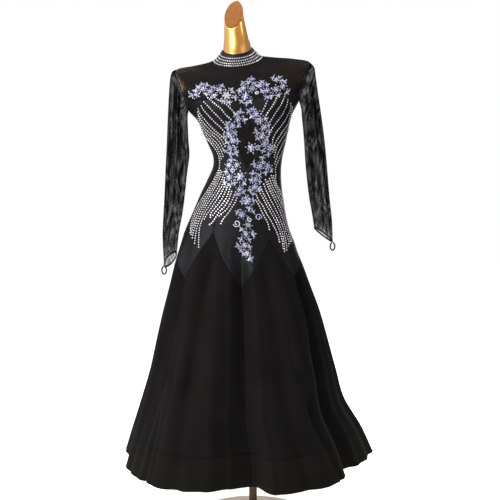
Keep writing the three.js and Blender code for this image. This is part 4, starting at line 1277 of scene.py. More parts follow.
class GOWN_OT_sleeves(Maker, bpy.types.Operator):
    """Makes the sheer sleeves, their cuff bindings and the finger loops"""

    bl_idname = "gown.sleeves"
    bl_label = "Sleeves"

    # The cuff's section: millimetres down the arm and out from the sleeve's end.
    CUFF = (
        (0.2, 0.1), (0.6, 0.35), (2.0, 0.5), (4.0, 0.55), (6.0, 0.45), (6.8, 0.1), (7.1, -0.6),
        (6.8, -1.5), (6, -1.9), (1, -1.9), (0.3, -1.5), (0.15, -0.5), (0.2, 0.1),
    )
    CUFF_COLUMNS = 96
    # The finger loop's route: shares of its half width and of its drop.
    LOOP = ((-0.25, 0), (-0.9, 0.35), (-0.75, 0.8), (0, 1), (0.75, 0.8), (0.9, 0.35), (0.25, 0))

    def execute(self, context):
        sizes = context.scene.gown_sizes
        colour = context.scene.gown_colours.net
        net = net_material("sheer sleeve net", colour, 0.5, 0.15, 0.14)
        elastic = elastic_material()
        for side in SLEEVES:
            last = len(SLEEVES[side])
            turn = np.linspace(0, 360, 109)
            ring = np.concatenate([np.linspace(0, 1, 16)[:-1], np.linspace(1, last, 104)])[:, None]
            ring = ring + 0 * turn
            points = sleeve_point(side, turn, ring)
            bunched = self.cover_change(side, turn, ring, points)
            order = slice(None, None, -1) if side == "right" else slice(None)
            points, bunched = points[order], bunched[order]
            normals = self.grid_normals(points)
            ends = ["first", "last", "top" if side == "right" else "bottom"]
            points, values = cloth_grid(points, normals, ends, 0.5)
            values["gather"] = bunched
            make_cloth(
                f"sleeve_{side}", "net", points, net, values, sizes.net,
                ["yoke_front-net", "yoke_back-net"],
            )
            self.make_cuff(side, last, elastic)
        return {"FINISHED"}

    def cover_change(self, side, turn, ring, points):
        """Closer net in the creases, at the armhole and where a sleeve is seen edge on, and
        thinner net beside the cuff."""
        last = len(SLEEVES[side])
        depth = crease_depth(SLEEVE_CREASES[side], turn, ring, 40.0)
        bunched = np.clip(np.abs(depth) / 4, 0, 1) + 0.9 * bell(ring, 0.05, 0.2)
        bunched = bunched - 0.5 * smooth((ring - last + 0.45) / 0.35)
        aside = np.abs(points[..., 0] - points[..., 0].mean(axis=1, keepdims=True))
        return bunched + 0.6 * (aside / aside.max(axis=1, keepdims=True)) ** 8

    def grid_normals(self, points):
        across = np.gradient(points, axis=1)
        up = np.gradient(points, axis=0)
        return unit(np.cross(across, up))

    def make_cuff(self, side, last, elastic):
        turn = np.linspace(0, 360, self.CUFF_COLUMNS, endpoint=False)
        end = sleeve_point(side, turn, last + 0 * turn, False)
        before = sleeve_point(side, turn, last - 1 + 0 * turn, False)
        along = unit(end.mean(0) - before.mean(0))
        t = turn * RAD
        outwards = np.stack([-OUTWARD[side] * np.cos(t), -np.sin(t), 0 * t], -1)
        order = self.CUFF if side == "left" else self.CUFF[::-1]
        rows = np.array([end + along * down + outwards * out for down, out in order])
        faces, values = grid_faces(*rows.shape[:2], True), cloth_coordinates(rows)
        cuff = make_piece(f"cuff_{side}-elastic", rows, faces, elastic, values)
        stand_for(cuff, f"cuff_{side}")
        outer = self.CUFF_COLUMNS // 2
        lowest = end[outer] + along * 7 - outwards[outer] * 1.0
        across, down = (
            curve_through(column, np.linspace(0, len(self.LOOP) - 1, 50))
            for column in np.array(self.LOOP, float).T
        )
        path = lowest + np.stack([8 * across, 0 * across, -0.6 - 26 * down], -1)
        loop = make_tube(f"finger_loop_{side}-elastic", path, 2.4, elastic)
        stand_for(loop, f"finger_loop_{side}")


def make_tube(name, path, radius, material):
    """A round cord along a path, closed at both ends."""
    ahead = unit(np.gradient(path, axis=0))
    side = unit(np.cross(ahead, (0, 1, 0)))
    third = np.cross(ahead, side)
    turn = np.linspace(0, 2 * np.pi, 12, endpoint=False)
    rings = np.array([
        p + radius * (np.cos(turn)[:, None] * s + np.sin(turn)[:, None] * u)
        for p, s, u in zip(path, side, third)
    ])
    first, last = (mix(path[end], rings[end], 0.05) for end in (0, -1))
    rings = np.array([first, *rings, last])
    run = lengths(path[:, None], 0)[:, 0]
    run = np.concatenate([[0], run, run[-1:]])[:, None]
    cloth = np.stack([run + 0 * turn, 0 * run + turn * radius, 0 * run + 0 * turn], -1)
    faces = grid_faces(*rings.shape[:2], True)
    return make_piece(name, rings, faces, material, {"cloth": cloth * MM})


# ---- Lace. Each motif: kind, angle and level of its middle, its length in millimetres, how far
# it is turned, and its tone. ----

LACE = {
    "lace_neckline_left": (
        ("leaf", -60.3, 20.4, 21, 205, 0.3), ("leaf", -50.3, 20.94, 19, 160, 0.2),
        ("leaf", -45.2, 21.42, 17.5, 120, 0.4), ("leaf", -50.3, 20.3, 15, 240, 0.5),
        ("flower", -39.8, 21.09, 16.5, 10, 0.25), ("leaf", -39.3, 21.8, 15, 100, 0.5),
        ("leaf", -34, 21.63, 16.5, 80, 0.3), ("flower", -32, 20.79, 15.5, 40, 0.45),
        ("leaf", -37.3, 20.36, 14, 250, 0.2), ("leaf", -27.4, 21.31, 15, 70, 0.6),
        ("flower", -22.6, 20.92, 15.5, 20, 0.3), ("leaf", -28.5, 20.16, 15, 265, 0.35),
        ("leaf", -19, 21.44, 14, 60, 0.5), ("flower", -16.3, 20.07, 24, 0, 0.95),
        ("leaf", -20.9, 19.26, 15, 240, 0.8), ("leaf", -14.3, 19.03, 15, 280, 0.9),
        ("leaf", -10.7, 20.84, 15, 45, 0.3), ("leaf", -6.9, 19.68, 17.5, 355, 0.2),
        ("curl", -32.2, 20, 13, 200, 0.5), ("bud", -8.9, 20.38, 9, 30, 0.4),
    ),
    "lace_neckline_right": (
        ("flower", 1.8, 19.75, 21, 15, 0.35), ("leaf", -2.6, 19.05, 15, 230, 0.5),
        ("leaf", 2.9, 18.83, 16.5, 268, 0.3), ("leaf", 7, 18.98, 15, 305, 0.45),
        ("leaf", -4.4, 20.56, 16.5, 165, 0.2), ("flower", 0.1, 20.86, 15.5, 30, 0.3),
        ("leaf", 0, 21.65, 15, 130, 0.5), ("leaf", 4.5, 21.6, 15, 115, 0.3),
        ("leaf", 7.4, 22.17, 19, 86, 0.2), ("leaf", 10.9, 21.45, 15, 50, 0.45),
        ("flower", 8.2, 20.77, 16.5, 0, 0.6), ("flower", 15.1, 21.07, 15.5, 20, 0.3),
        ("leaf", 17.9, 21.58, 15, 45, 0.5), ("leaf", 22.6, 21.12, 15, 15, 0.35),
        ("flower", 23, 20.29, 16.5, 50, 0.5), ("leaf", 17.6, 20.21, 15, 210, 0.3),
        ("leaf", 22.9, 19.28, 17.5, 240, 0.4), ("leaf", 28.4, 19.36, 16.5, 275, 0.25),
        ("flower", 32.4, 20.39, 17.5, 10, 0.4), ("leaf", 37.1, 19.49, 15, 285, 0.5),
        ("flower", 39.9, 20.7, 14.5, 30, 0.3), ("leaf", 48.1, 19.81, 16.5, 310, 0.2),
        ("leaf", 27, 22.04, 15, 172, 0.5), ("leaf", 30.8, 21.64, 14, 190, 0.3),
        ("leaf", 33.6, 21.98, 15, 118, 0.4), ("leaf", 37.6, 21.53, 14, 80, 0.6),
        ("leaf", 41.5, 21.36, 15, 48, 0.3), ("curl", 13.2, 20.13, 13, 140, 0.5),
    ),
    "lace_column_left": (
        ("leaf", -4, 18.28, 19, 82, 0.3), ("leaf", 0.4, 17.64, 17.5, 8, 0.2),
        ("leaf", -10.5, 18.08, 15, 125, 0.4), ("flower", -7.7, 17.71, 16.5, 0, 0.3),
        ("leaf", -7.3, 17.2, 14, 320, 0.5), ("flower", -16.3, 17.19, 17.5, 30, 0.4),
        ("leaf", -24, 17.1, 16.5, 180, 0.3), ("leaf", -22.2, 17.46, 14, 130, 0.6),
        ("flower", -23.4, 16.58, 17.5, 10, 0.2), ("leaf", -13.7, 16.69, 15, 30, 0.35),
        ("leaf", -31.2, 16.45, 15, 200, 0.5), ("flower", -19.4, 16.12, 17.5, 45, 0.3),
        ("leaf", -12, 16.07, 15, 355, 0.5), ("leaf", -30.2, 16, 15, 215, 0.3),
        ("flower", -27.1, 15.58, 15.5, 0, 0.4), ("leaf", -17.4, 15.6, 15, 20, 0.6),
        ("leaf", -18.4, 15.14, 19, 300, 0.15), ("leaf", -29, 15.14, 15, 262, 0.3),
        ("leaf", -36.9, 15.31, 15, 225, 0.45), ("leaf", -27.1, 14.69, 21, 92, 0.1),
        ("flower", -32, 14.14, 14.5, 20, 0.2), ("flower", -17.1, 14.19, 14.5, 60, 0.3),
        ("curl", -22.2, 13.77, 17, 90, 0.1), ("leaf", -34.6, 13.64, 16.5, 185, 0.3),
        ("flower", -8.4, 13.36, 23, 10, 0.05), ("flower", -24.8, 13.25, 18.5, 40, 0.25),
        ("leaf", -30.2, 12.77, 17.5, 215, 0.35), ("leaf", -21.6, 12.73, 15, 255, 0.5),
        ("leaf", -14.2, 12.86, 15, 285, 0.3), ("leaf", 0.3, 12.92, 15, 330, 0.15),
        ("flower", -5.1, 12.49, 14.5, 10, 0.4), ("leaf", 1.1, 12.31, 16.5, 315, 0.3),
        ("leaf", -7.8, 12.14, 15, 235, 0.5), ("leaf", 5, 11.95, 14, 300, 0.4),
    ),
    "lace_column_right": (
        ("leaf", 4.8, 18.3, 17.5, 140, 0.3), ("leaf", 10.2, 18.41, 15, 80, 0.5),
        ("flower", 13.1, 18.04, 16.5, 0, 0.35), ("leaf", 8.3, 17.83, 15, 215, 0.25),
        ("flower", 19.5, 17.56, 17.5, 30, 0.4), ("leaf", 14.6, 17.46, 14, 190, 0.5),
        ("leaf", 27.3, 17.65, 15, 30, 0.3), ("flower", 24.8, 17.05, 16.5, 50, 0.3),
        ("leaf", 32, 17.21, 15, 20, 0.6), ("leaf", 13.2, 16.71, 20, 195, 0.15),
        ("flower", 22.7, 16.46, 17.5, 10, 0.3), ("leaf", 34.3, 16.71, 16.5, 15, 0.35),
        ("leaf", 15, 16.26, 15, 225, 0.5), ("leaf", 30.6, 16.19, 15, 320, 0.4),
        ("flower", 6.4, 15.57, 20.5, 20, 0.1), ("curl", 16.3, 15.59, 18.5, 30, 0.2),
        ("flower", 26.4, 15.86, 16.5, 0, 0.3), ("flower", 37.6, 15.65, 20.5, 40, 0.75),
        ("leaf", 24.4, 15.36, 15, 262, 0.4), ("leaf", 35.2, 15.12, 15, 285, 0.5),
        ("leaf", 24.4, 14.86, 15, 265, 0.2), ("leaf", 10.1, 14.35, 19, 190, 0.3),
        ("flower", 20.8, 14.14, 16.5, 20, 0.4), ("flower", 36.4, 14.19, 18.5, 50, 0.5),
        ("leaf", 25.9, 14.59, 14, 100, 0.3), ("leaf", 32.4, 13.73, 16.5, 285, 0.35),
        ("leaf", 45.8, 13.92, 14, 320, 0.6), ("leaf", 10.9, 13.7, 17.5, 97, 0.2),
        ("leaf", 22.4, 13.58, 15, 55, 0.4), ("leaf", 9.1, 13.19, 15, 165, 0.3),
        ("flower", 16.6, 13.25, 14.5, 0, 0.4), ("leaf", 24.4, 13.14, 15, 0, 0.5),
        ("flower", 15.8, 12.74, 15.5, 30, 0.25), ("leaf", 8.5, 12.52, 15, 205, 0.4),
        ("leaf", 23.4, 12.62, 15, 330, 0.3), ("leaf", 14.4, 12.25, 14, 265, 0.55),
    ),
    "lace_tail": (
        ("flower", 7.5, 11.76, 21, 0, 0.3), ("leaf", -0.3, 11.69, 15, 185, 0.4),
        ("leaf", 16.3, 11.86, 15, 15, 0.5), ("leaf", 10.2, 11.25, 16.5, 270, 0.25),
        ("flower", 2, 10.76, 17.5, 20, 0.4), ("leaf", -4.3, 10.91, 15, 160, 0.3),
        ("leaf", 16.2, 11.1, 14, 40, 0.5), ("curl", -3.2, 9.99, 24, 200, 0.25),
        ("curl", 22.3, 10.69, 24, 340, 0.3), ("curl", 11.3, 10.44, 17, 90, 0.4),
        ("flower", 9.4, 9.95, 14.5, 30, 0.45), ("leaf", 1.9, 9.5, 15, 225, 0.3),
        ("leaf", 15.5, 9.26, 20, 8, 0.15), ("flower", 6.5, 9.22, 14.5, 50, 0.35),
        ("leaf", 1.2, 8.76, 16.5, 165, 0.3), ("leaf", 10.5, 8.77, 15, 30, 0.5),
        ("leaf", -1.6, 8.25, 17.5, 205, 0.2), ("leaf", 1.9, 7.97, 15, 235, 0.4),
        ("flower", 5.5, 8.34, 14.5, 10, 0.3), ("leaf", 11, 8.27, 15, 20, 0.35),
        ("leaf", 4.8, 7.75, 14, 240, 0.5), ("flower", 8.3, 7.83, 14, 40, 0.4),
        ("leaf", 11, 7.45, 19, 300, 0.1),
    ),
}

# Lines of stones on the body, as (angle, level) points from the top down.
STONE_LINES = (
    ((-29.9, 20.2), (-27, 19.7), (-22.7, 19.3), (-17.6, 18.9), (-14.1, 18.5), (-10.4, 18.1)),
    ((-36.7, 20), (-29.9, 19.1), (-25.2, 18.6), (-22.1, 18.1), (-16.9, 17.7)),
    ((-42.4, 19.5), (-38.7, 18.9), (-36.2, 18.4), (-32, 17.9), (-26.6, 17.4), (-24.1, 17.2)),
    ((-47.8, 19.1), (-47.7, 18.6), (-45.8, 18.1), (-40.4, 17.6), (-34.1, 17.2), (-29.2, 16.8)),
    ((-55.2, 18.9), (-58.6, 18.3), (-56.1, 17.8), (-49.7, 17.3), (-43.4, 16.9), (-37.9, 16.6),
     (-31.1, 16.2)),
    ((-60.2, 18.6), (-65.6, 18.1), (-62.5, 17.6), (-55.6, 17.2), (-49.3, 16.8), (-41.7, 16.5),
     (-37.2, 16.1), (-35, 15.7)),
    ((-66.3, 18.3), (-71, 17.8), (-65.9, 17.3), (-58.9, 16.9), (-52.3, 16.6), (-46.2, 16.3),
     (-41.9, 15.9), (-40.2, 15.4)),
    ((-74.5, 18.1), (-76, 17.5), (-69, 17), (-62.7, 16.7), (-55.8, 16.3), (-50.1, 16),
     (-46.4, 15.6), (-43.8, 14.9)),
    ((-83, 17.8), (-81, 17.2), (-73, 16.8), (-66, 16.4), (-58.5, 16), (-53.3, 15.7), (-51.1, 15.2),
     (-49.2, 14.7)),
    ((-94, 17.5), (-89, 16.9), (-75.5, 16.4), (-67.5, 16.1), (-61.1, 15.7), (-57.1, 15.3),
     (-54.9, 14.9), (-53.3, 14.4), (-51.9, 13.9)),
    ((-52.9, 13.7), (-53.5, 13.2), (-56.4, 12.6), (-61.9, 11.9), (-67.7, 11.3), (-72.5, 10.7),
     (-71.5, 10.1), (-68.1, 9.5), (-65.1, 9.1)),
    ((-49.8, 13.7), (-50, 13.2), (-52.1, 12.6), (-56.5, 11.9), (-61.9, 11.2), (-65.6, 10.6),
     (-65.7, 10.1), (-63.6, 9.4), (-61.7, 8.8)),
    ((-46.5, 13.7), (-46.4, 13.2), (-47.9, 12.6), (-51.9, 11.9), (-56.8, 11.2), (-60.4, 10.6),
     (-60.5, 10), (-59.5, 9.3), (-58.9, 8.7)),
    ((-43, 13.6), (-42.2, 13.2), (-43.8, 12.6), (-47.7, 11.9), (-52.3, 11.2), (-55.7, 10.6),
     (-56.3, 10), (-55.7, 9.2), (-55.4, 8.5)),
    ((-37.3, 13.4), (-37, 13), (-39, 12.4), (-43.3, 11.8), (-47.9, 11.2), (-51.3, 10.5),
     (-52.2, 9.9), (-51.5, 9.1), (-48, 8.2)),
    ((-32.5, 13.2), (-32.4, 12.8), (-34.4, 12.3), (-38.6, 11.7), (-43.2, 11.1), (-46.8, 10.5),
     (-47.6, 9.9), (-46.8, 9.1), (-40.6, 8)),
    ((-29.4, 12.9), (-28.8, 12.6), (-30.2, 12.1), (-34.1, 11.6), (-38.5, 11), (-42.3, 10.5),
     (-44.6, 10)),
    ((-23.4, 12.7), (-24.3, 12.3), (-26.6, 11.8), (-30.4, 11.3), (-34.5, 10.9), (-37, 10.5),
     (-35.9, 10.2)),
    ((-19, 12.6), (-20, 12.1), (-22.4, 11.6), (-26.1, 11.2), (-30.2, 10.8), (-33.4, 10.4)),
    ((-15.7, 12.3), (-16.5, 11.9), (-18.6, 11.5), (-21.8, 11.1), (-25.5, 10.8), (-28, 10.4),
     (-30, 10.1), (-31.9, 9.8), (-34.7, 9.6)),
    ((-10.8, 12.1), (-12, 11.8), (-14.3, 11.4), (-17.4, 11), (-21.4, 10.7), (-24.8, 10.4)),
    ((-6.9, 11.9), (-8.8, 11.5), (-11.9, 11.1), (-14.8, 10.7), (-17.9, 10.4), (-20, 10.1),
     (-21, 9.8)),
    ((24.7, 18.9), (23.7, 18.6), (22.2, 18.3), (20.2, 18)),
    ((35.2, 19.4), (34.4, 18.9), (32.4, 18.5), (29.6, 18.2), (26.9, 17.9)),
    ((44.9, 19.3), (44.4, 18.9), (43.3, 18.5), (39.2, 18), (33.8, 17.5), (30.9, 17.3)),
    ((51.4, 19), (53.6, 18.5), (52.2, 18), (45.6, 17.5), (39.2, 17.1), (33, 16.6), (31.2, 16.4)),
    ((60.3, 18.7), (67, 18.2), (62.9, 17.7), (52.6, 17.1), (43.8, 16.6), (40.7, 16.2)),
    ((68, 18.5), (76, 18), (73, 17.4), (62.3, 16.9), (52.8, 16.4), (46.1, 15.9), (45.6, 15.5)),
    ((78, 18.3), (84, 17.8), (80, 17.2), (69.5, 16.7), (58.7, 16.2), (51.4, 15.7), (49.2, 15)),
    ((88, 18.1), (93, 17.5), (89, 17), (79, 16.5), (66.5, 15.9), (59.1, 15.4), (54.9, 14.9),
     (52.3, 14.5)),
    ((98, 17.7), (99, 17.1), (96, 16.6), (87, 16.1), (77, 15.6), (66.5, 15.1), (60, 14.6),
     (55.3, 14.1), (56.8, 13.7)),
    ((20.2, 11.8), (22.9, 11.6), (26.7, 11.2), (31.4, 10.7), (34.6, 10.3), (35.2, 9.8)),
    ((19.7, 12.2), (22.8, 11.9), (28.2, 11.6), (34.6, 11), (39.9, 10.5), (45.2, 9.7), (45.6, 8.8)),
    ((23.6, 12.5), (27.7, 12.2), (34, 11.7), (41.4, 11.1), (47.6, 10.5), (50.9, 9.8), (50, 9),
     (49.1, 8.3)),
    ((25.6, 12.8), (30, 12.4), (36.5, 11.9), (44.4, 11.3), (51.3, 10.7), (55, 9.9), (53.4, 9.1),
     (50.1, 8.1)),
    ((30.7, 13), (34.8, 12.6), (41.2, 12.1), (49.3, 11.5), (56.3, 10.9), (60.3, 10.1), (57.6, 9.2),
     (53.9, 8.2)),
    ((33.3, 13.3), (39.2, 12.8), (46.3, 12.3), (54.5, 11.7), (62, 11.1), (66.1, 10.3), (63.2, 9.4),
     (61.4, 8.5)),
    ((38, 13.2), (43.9, 12.8), (51.2, 12.3), (60, 11.8), (68, 11.2), (73.5, 10.4), (69.3, 9.5),
     (64.3, 8.7)),
    ((41.2, 13.4), (48.1, 12.9), (56.1, 12.4), (66, 11.9), (77, 11.3), (82, 10.5), (78, 9.7),
     (68.7, 8.9)),
    ((45, 13.6), (51.6, 13.1), (60.8, 12.5), (72.5, 11.9), (85, 11.3), (91, 10.5), (87, 9.7),
     (78.5, 9.2)),
    ((50.2, 13.6), (55.4, 13.1), (65, 12.6), (78, 12), (91, 11.4), (98, 10.6), (95, 9.8)),
    ((55.8, 13.6), (58.7, 13.1), (68.5, 12.7), (85, 12.1), (99, 11.5), (105, 10.8)),
)
STONE_SPACING, STONE_SEAT = 7.9, 0.15  # millimetres along a line, and over the cloth
COLLAR_ROWS = (25.95, 26.41, 26.85, 27.28)
COLLAR_SPACING = 7.4
ROW_SHIFT = 8  # quarters of a degree by which every second row of the collar is turned


def rings_to_faces(rings, points):
    """Faces of a dome whose first point is its middle and whose rings grow from there."""
    faces = [(0, 1 + j, 1 + (j + 1) % points) for j in range(points)]
    for i in range(rings - 1):
        a = 1 + i * points
        faces += [
            (a + j, a + points + j, a + points + (j + 1) % points, a + (j + 1) % points)
            for j in range(points)
        ]
    return faces


# A blade's rings from its middle out, and a cord's section: share of the width and height.
BLADE_PROFILE = ((0.35, 1.05), (0.62, 0.80), (0.80, 1.35), (0.92, 1.40), (1.0, 0.25))
CORD_SECTION = ((-1, 0.1), (-0.8, 0.95), (0, 1.5), (0.8, 0.95), (1, 0.1))


def blade(length, width, at=0.0, pointed=1.0, points=14):
    """A domed petal or leaf with a raised cord round its rim, along its first axis."""
    turn = np.linspace(0, 2 * np.pi, points, endpoint=False)
    out = [(at, 0, 1.25)]
    for share, height in BLADE_PROFILE:
        p = at + length / 2 * share * np.cos(turn)
        q = width / 2 * share * np.sin(turn) * np.abs(np.sin(turn)) ** pointed
        out += list(zip(p, q, np.full(points, height)))
    return np.array(out), rings_to_faces(len(BLADE_PROFILE), points)


def ridge(path, radius):
    """A cord laid along a path of (p, q) points, half sunk in the ground below it."""
    path = np.array(path, float)
    ahead = unit(np.gradient(path, axis=0))
    across = np.stack([-ahead[:, 1], ahead[:, 0]], -1)
    place = np.arange(len(path))
    width = radius * np.minimum(1, 0.35 + np.minimum(place, place[::-1]) * 0.4)
    columns = [
        np.concatenate([path + across * (side * width)[:, None], (up * width)[:, None]], 1)
        for side, up in CORD_SECTION
    ]
    faces = grid_faces(len(path), len(CORD_SECTION))[:, ::-1]
    return np.stack(columns, 1).reshape(-1, 3), [tuple(f) for f in faces]


def turned(points, degrees):
    c, s = math.cos(degrees * RAD), math.sin(degrees * RAD)
    return points @ np.array([(c, s, 0), (-s, c, 0), (0, 0, 1)])


# A flower's two rings of blades, and the turn and length of a leaf's blades and tendrils. Sizes
# and places are shares of the motif's size, turns are in degrees and stones in millimetres.
PETALS = (
    {"turn": 0, "length": 0.58, "width": 0.30, "at": 0.36, "pointed": 0.3, "points": 14,
     "tone": 0.0, "stone_at": 0.40, "stone": 2.9},
    {"turn": 30, "length": 0.42, "width": 0.17, "at": 0.82, "pointed": 0.2, "points": 10,
     "tone": 0.22, "stone_at": 0.94, "stone": 2.6},
)
LEAF_BLADES, LEAF_FOOT = ((0, 1.0), (47, 0.72), (-47, 0.72)), -0.42
LEAF_TENDRILS, TENDRIL_FOOT = (98, -98, 150), -0.1


def spot(reach, degrees):
    """The place at a distance from the middle, in one direction."""
    return turned(np.array([(reach, 0, 0)]), degrees)[0]


def flower_parts(size):
    parts, stones = [], [(0, 0, 3.8)]
    for ring in PETALS:
        for i in range(6):
            turn = 60 * i + ring["turn"]
            points, faces = blade(
                ring["length"] * size, ring["width"] * size, ring["at"] * size,
                ring["pointed"], ring["points"],
            )
            parts.append((turned(points, turn), faces, ring["tone"]))
            at = spot(ring["stone_at"] * size, turn)
            stones.append((at[0], at[1], ring["stone"]))
    points, faces = blade(0.24 * size, 0.24 * size, 0, 0.0, 10)
    parts.append((points + (0, 0, 0.5), faces, 0.2))
    return parts, stones


def leaf_parts(size):
    parts, stones = [], []
    foot = np.array([LEAF_FOOT * size, 0, 0])
    for side, share in LEAF_BLADES:
        length = size * share
        points, faces = blade(length, 0.34 * length, 0.5 * length, 0.5, 12)
        parts.append((turned(points, side) + foot, faces, 0.1 * (side != 0)))
        at = spot(0.62 * length, side) + foot
        stones.append((at[0], at[1], 2.8))
    foot = np.array([TENDRIL_FOOT * size, 0, 0])
    for side in LEAF_TENDRILS:
        points, faces = blade(0.46 * size, 0.15 * size, 0.5 * size, 0.4, 10)
        parts.append((turned(points, side) + foot, faces, 0.25))
        at = spot(0.66 * size, side) + foot
        stones.append((at[0], at[1], 2.6))
    stones.append((-0.12 * size, 0, 3.4))
    return parts, stones


def curl_parts(size):
    turns = np.linspace(0, 2.6 * np.pi, 30)
    reach = size * np.linspace(0.5, 0.12, 30)
    path = np.stack([reach * np.cos(turns), reach * np.sin(turns)], -1)
    points, faces = ridge(path, 1.3)
    return [(points, faces, -0.3)], [(p, q, 2.6) for p, q in path[2::4]]


def bud_parts(size):
    points, faces = blade(size, 0.55 * size, 0, 0.4)
    return [(points, faces, 0.0)], [(0, 0, 2.2)]


# Each kind's parts as (points, faces, change of tone), and where its stones sit and their widths.
MOTIFS = {"flower": flower_parts, "leaf": leaf_parts, "curl": curl_parts, "bud": bud_parts}


def dress_scale(angle, level):
    """Millimetres of the dress's face to one degree, and to one level, at one place."""
    across = dress_point(angle + 0.5, level) - dress_point(angle - 0.5, level)
    up = dress_point(angle, level + 0.05) - dress_point(angle, level - 0.05)
    return np.linalg.norm(across), np.linalg.norm(up) / 0.1


LACE_GROUND = 0.25  # millimetres of the lace's underside over the dress's face


def on_dress(angle, level, local):
    """Places points of (right, up, out) millimetres on the dress round one angle and level."""
    across, up = dress_scale(angle, level)
    angles = angle + local[:, 0] / across
    levels = level + local[:, 1] / up
    side = np.full(len(local), -1)
    points = dress_point(angles, levels, side)
    normals = dress_normal(angles, levels, side)
    return points + normals * (local[:, 2] + LACE_GROUND)[:, None], normals


GOLDEN, PLASTIC = 0.618034, 0.754878  # steps that spread numbers evenly over 0 to 1
RIM_TONE, HEART_TONE = -0.14, 0.30
TONE_SPREAD, DARKEST_TONE, PALE_TONE = 0.85, 0.6, 0.7
CORD_REACH, CORD_RADIUS, CORD_BOW = 40, 0.45, 2.2
STONE_FOOT = 1.35  # millimetres of a stone's underside over the lace's ground


class GOWN_OT_lace(Maker, bpy.types.Operator):
    """Makes the five pieces of corded lace, with the stones sewn on them"""

    bl_idname = "gown.lace"
    bl_label = "Lace"

    def execute(self, context):
        material, stone = lace_material(), stone_material()
        gems = []
        for name, motifs in LACE.items():
            points, faces, tones = [], [], []
            count = 0
            for part, found, tone in self.parts_of(motifs, gems):
                points.append(part)
                faces += [tuple(i + count for i in face) for face in found]
                tones.append(np.broadcast_to(tone, len(part)))
                count += len(part)
            values = {"tone": np.concatenate(tones)}
            piece = make_piece(f"{name}-corded", np.concatenate(points), faces, material, values)
            stand_for(piece, name)
        make_stones("lace_stones", gems, stone)
        return {"FINISHED"}

    def parts_of(self, motifs, gems):
        """Each part's points, faces and tones. The stones on them are added to gems."""
        before, count = None, 0
        for kind, angle, level, size, turn, tone in motifs:
            parts, stones = MOTIFS[kind](size)
            for points, faces, change in parts:
                placed, _ = on_dress(angle, level, turned(points, turn))
                count += 1
                varied = tone + change + TONE_SPREAD * ((count * GOLDEN) % 1 - 0.5)
                rim = np.clip((points[:, 2] - 0.85) * 2, 0, 1) * (points[:, 2] > 1.2)
                toned = varied + HEART_TONE + (RIM_TONE - HEART_TONE) * rim
                toned = np.clip(toned, 0, DARKEST_TONE) if tone < PALE_TONE else tone + 0 * rim
                yield placed, faces, toned
            spots = turned(np.array([(p, q, STONE_FOOT) for p, q, _ in stones]), turn)
            at, normals = on_dress(angle, level, spots)
            gems += [(c, n, width / 2) for c, n, (_, _, width) in zip(at, normals, stones)]
            here = dress_point(angle, level, -1)
            if before is not None and np.linalg.norm(here - before[2]) < CORD_REACH:
                yield (*self.cord(before, (angle, level)), 0.5)
            before = (angle, level, here)

    def cord(self, start, end):
        """A thin cord that joins one motif to the next."""
        share = np.linspace(0, 1, 9)
        middle = ((start[0] + end[0]) / 2, (start[1] + end[1]) / 2)
        across, up = dress_scale(*middle)
        p = (end[0] - start[0]) * across * (share - 0.5)
        q = (end[1] - start[1]) * up * (share - 0.5)
        bow = CORD_BOW * np.sin(np.pi * share)
        rise, run = q[-1] - q[0], p[-1] - p[0]
        length = max(1.0, math.hypot(run, rise))
        path = np.stack([p - bow * rise / length, q + bow * run / length], -1)
        points, faces = ridge(path, CORD_RADIUS)
        return on_dress(*middle, points)[0], faces


# A stone's sides, and the share of its half width and height at its girdle and at its flat top.
STONE_SIDES, GIRDLE, TABLE, STONE_TILT = 8, (1.0, 0.05), (0.56, 0.62), 0.25


def make_stones(name, gems, material):
    """Faceted stones in one piece, each from its middle, its normal and half its width."""
    centre, normal, radius = (np.array(column) for column in zip(*gems))
    count, sides = len(gems), STONE_SIDES
    tint = (np.arange(count) * GOLDEN) % 1
    right = unit(np.cross(normal, (0.01, 0.02, -1.0)))
    up = np.cross(right, normal)
    tilt = STONE_TILT * (((np.arange(count) * PLASTIC) % 1) - 0.5)[:, None]
    normal = unit(normal + right * tilt + up * np.roll(tilt, 3))
    points = np.zeros((count, 2 * sides, 3))
    for j in range(2 * sides):
        share, height = GIRDLE if j < sides else TABLE
        turn = (j % sides) * np.pi / 4 + tint * 2
        out = right * np.cos(turn)[:, None] + up * np.sin(turn)[:, None]
        raised = normal * (radius * height)[:, None]
        points[:, j] = centre + out * (radius * share)[:, None] + raised
    after = [(j + 1) % sides for j in range(sides)]
    pattern = [(j, k, sides + k, sides + j) for j, k in enumerate(after)]
    pattern.append(tuple(range(sides, 2 * sides)))
    faces = [tuple(i * 2 * sides + v for v in face) for i in range(count) for face in pattern]
    piece = make_piece(name, points, faces, material, {"tone": np.repeat(tint, 2 * sides)})
    piece.data.polygons.foreach_set("use_smooth", np.zeros(len(faces), bool))
    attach(piece, "root")


def evenly_along(points, spacing):
    """Picks points of a dense path at even distances."""
    run = lengths(points[:, None], 0)[:, 0]
    count = max(2, int(run[-1] / spacing) + 1)
    return np.interp(np.linspace(0, run[-1], count), run, np.arange(len(run)))


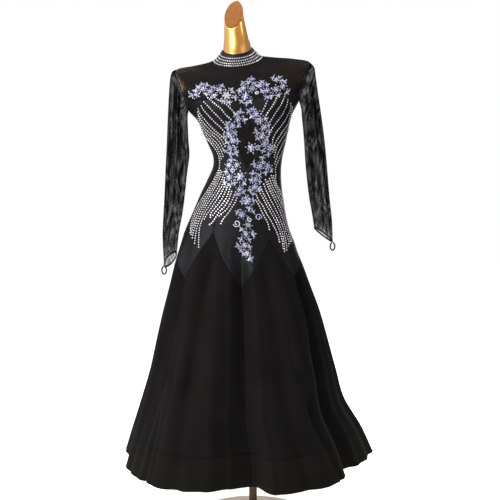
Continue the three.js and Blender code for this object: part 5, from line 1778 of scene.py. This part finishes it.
class GOWN_OT_stones(Maker, bpy.types.Operator):
    """Makes the lines of stones on the body and the rows of stones on the collar"""

    bl_idname = "gown.stones"
    bl_label = "Stones"

    def execute(self, context):
        sizes, material = context.scene.gown_sizes, bpy.data.materials["foiled stones"]
        gems = []
        for line in STONE_LINES:
            dense = np.linspace(0, len(line) - 1, 40 * len(line))
            angle, level = (curve_through(column, dense) for column in np.array(line, float).T)
            picked = evenly_along(dress_point(angle, level), STONE_SPACING)
            angle, level = (
                np.interp(picked, np.arange(len(dense)), column) for column in (angle, level)
            )
            gems += self.gems_at(angle, level, sizes.stone)
        make_stones("body_stones", gems, material)
        gems = []
        whole_turn = np.linspace(-180, 180, 1441)
        for i, row in enumerate(COLLAR_ROWS):
            path = dress_point(whole_turn, row + 0 * whole_turn)
            picked = evenly_along(path, COLLAR_SPACING)[:-1] + (i % 2) * ROW_SHIFT
            angle = np.interp(picked, np.arange(len(whole_turn)), whole_turn)
            gems += self.gems_at(angle, row + 0 * angle, sizes.collar_stone)
        make_stones("collar_stones", gems, material)
        return {"FINISHED"}

    def gems_at(self, angle, level, width):
        normals = dress_normal(angle, level)
        centres = dress_point(angle, level) + normals * STONE_SEAT
        return [(c, n, width / MM / 2) for c, n in zip(centres, normals)]


# ---- Panel, registration and the whole build ----

MAKERS = (
    GOWN_OT_stage, GOWN_OT_form, GOWN_OT_stand, GOWN_OT_body, GOWN_OT_skirt, GOWN_OT_yoke,
    GOWN_OT_sleeves, GOWN_OT_lace, GOWN_OT_stones,
)


class GOWN_PT_makers(bpy.types.Panel):
    """Lists the gown's settings and makers"""

    bl_label = "Gown"
    bl_idname = "GOWN_PT_makers"
    bl_space_type = "VIEW_3D"
    bl_region_type = "UI"
    bl_category = "Gown"

    def draw(self, context):
        for group in ("gown_sizes", "gown_colours", "gown_stage"):
            settings = getattr(context.scene, group)
            box = self.layout.box()
            for key in settings.__annotations__:
                box.prop(settings, key)
        for maker in MAKERS:
            self.layout.operator(maker.bl_idname)


CLASSES = (GownSizes, GownColours, StageSettings, *MAKERS, GOWN_PT_makers)


def register():
    for made in CLASSES:
        bpy.utils.register_class(made)
    bpy.types.Scene.gown_sizes = PointerProperty(type=GownSizes)
    bpy.types.Scene.gown_colours = PointerProperty(type=GownColours)
    bpy.types.Scene.gown_stage = PointerProperty(type=StageSettings)


def unregister():
    for name in ("gown_sizes", "gown_colours", "gown_stage"):
        delattr(bpy.types.Scene, name)
    for made in reversed(CLASSES):
        bpy.utils.unregister_class(made)


def main():
    register()
    for maker in MAKERS:
        getattr(bpy.ops.gown, maker.bl_idname.split(".")[1])()


if __name__ == "__main__":
    main()
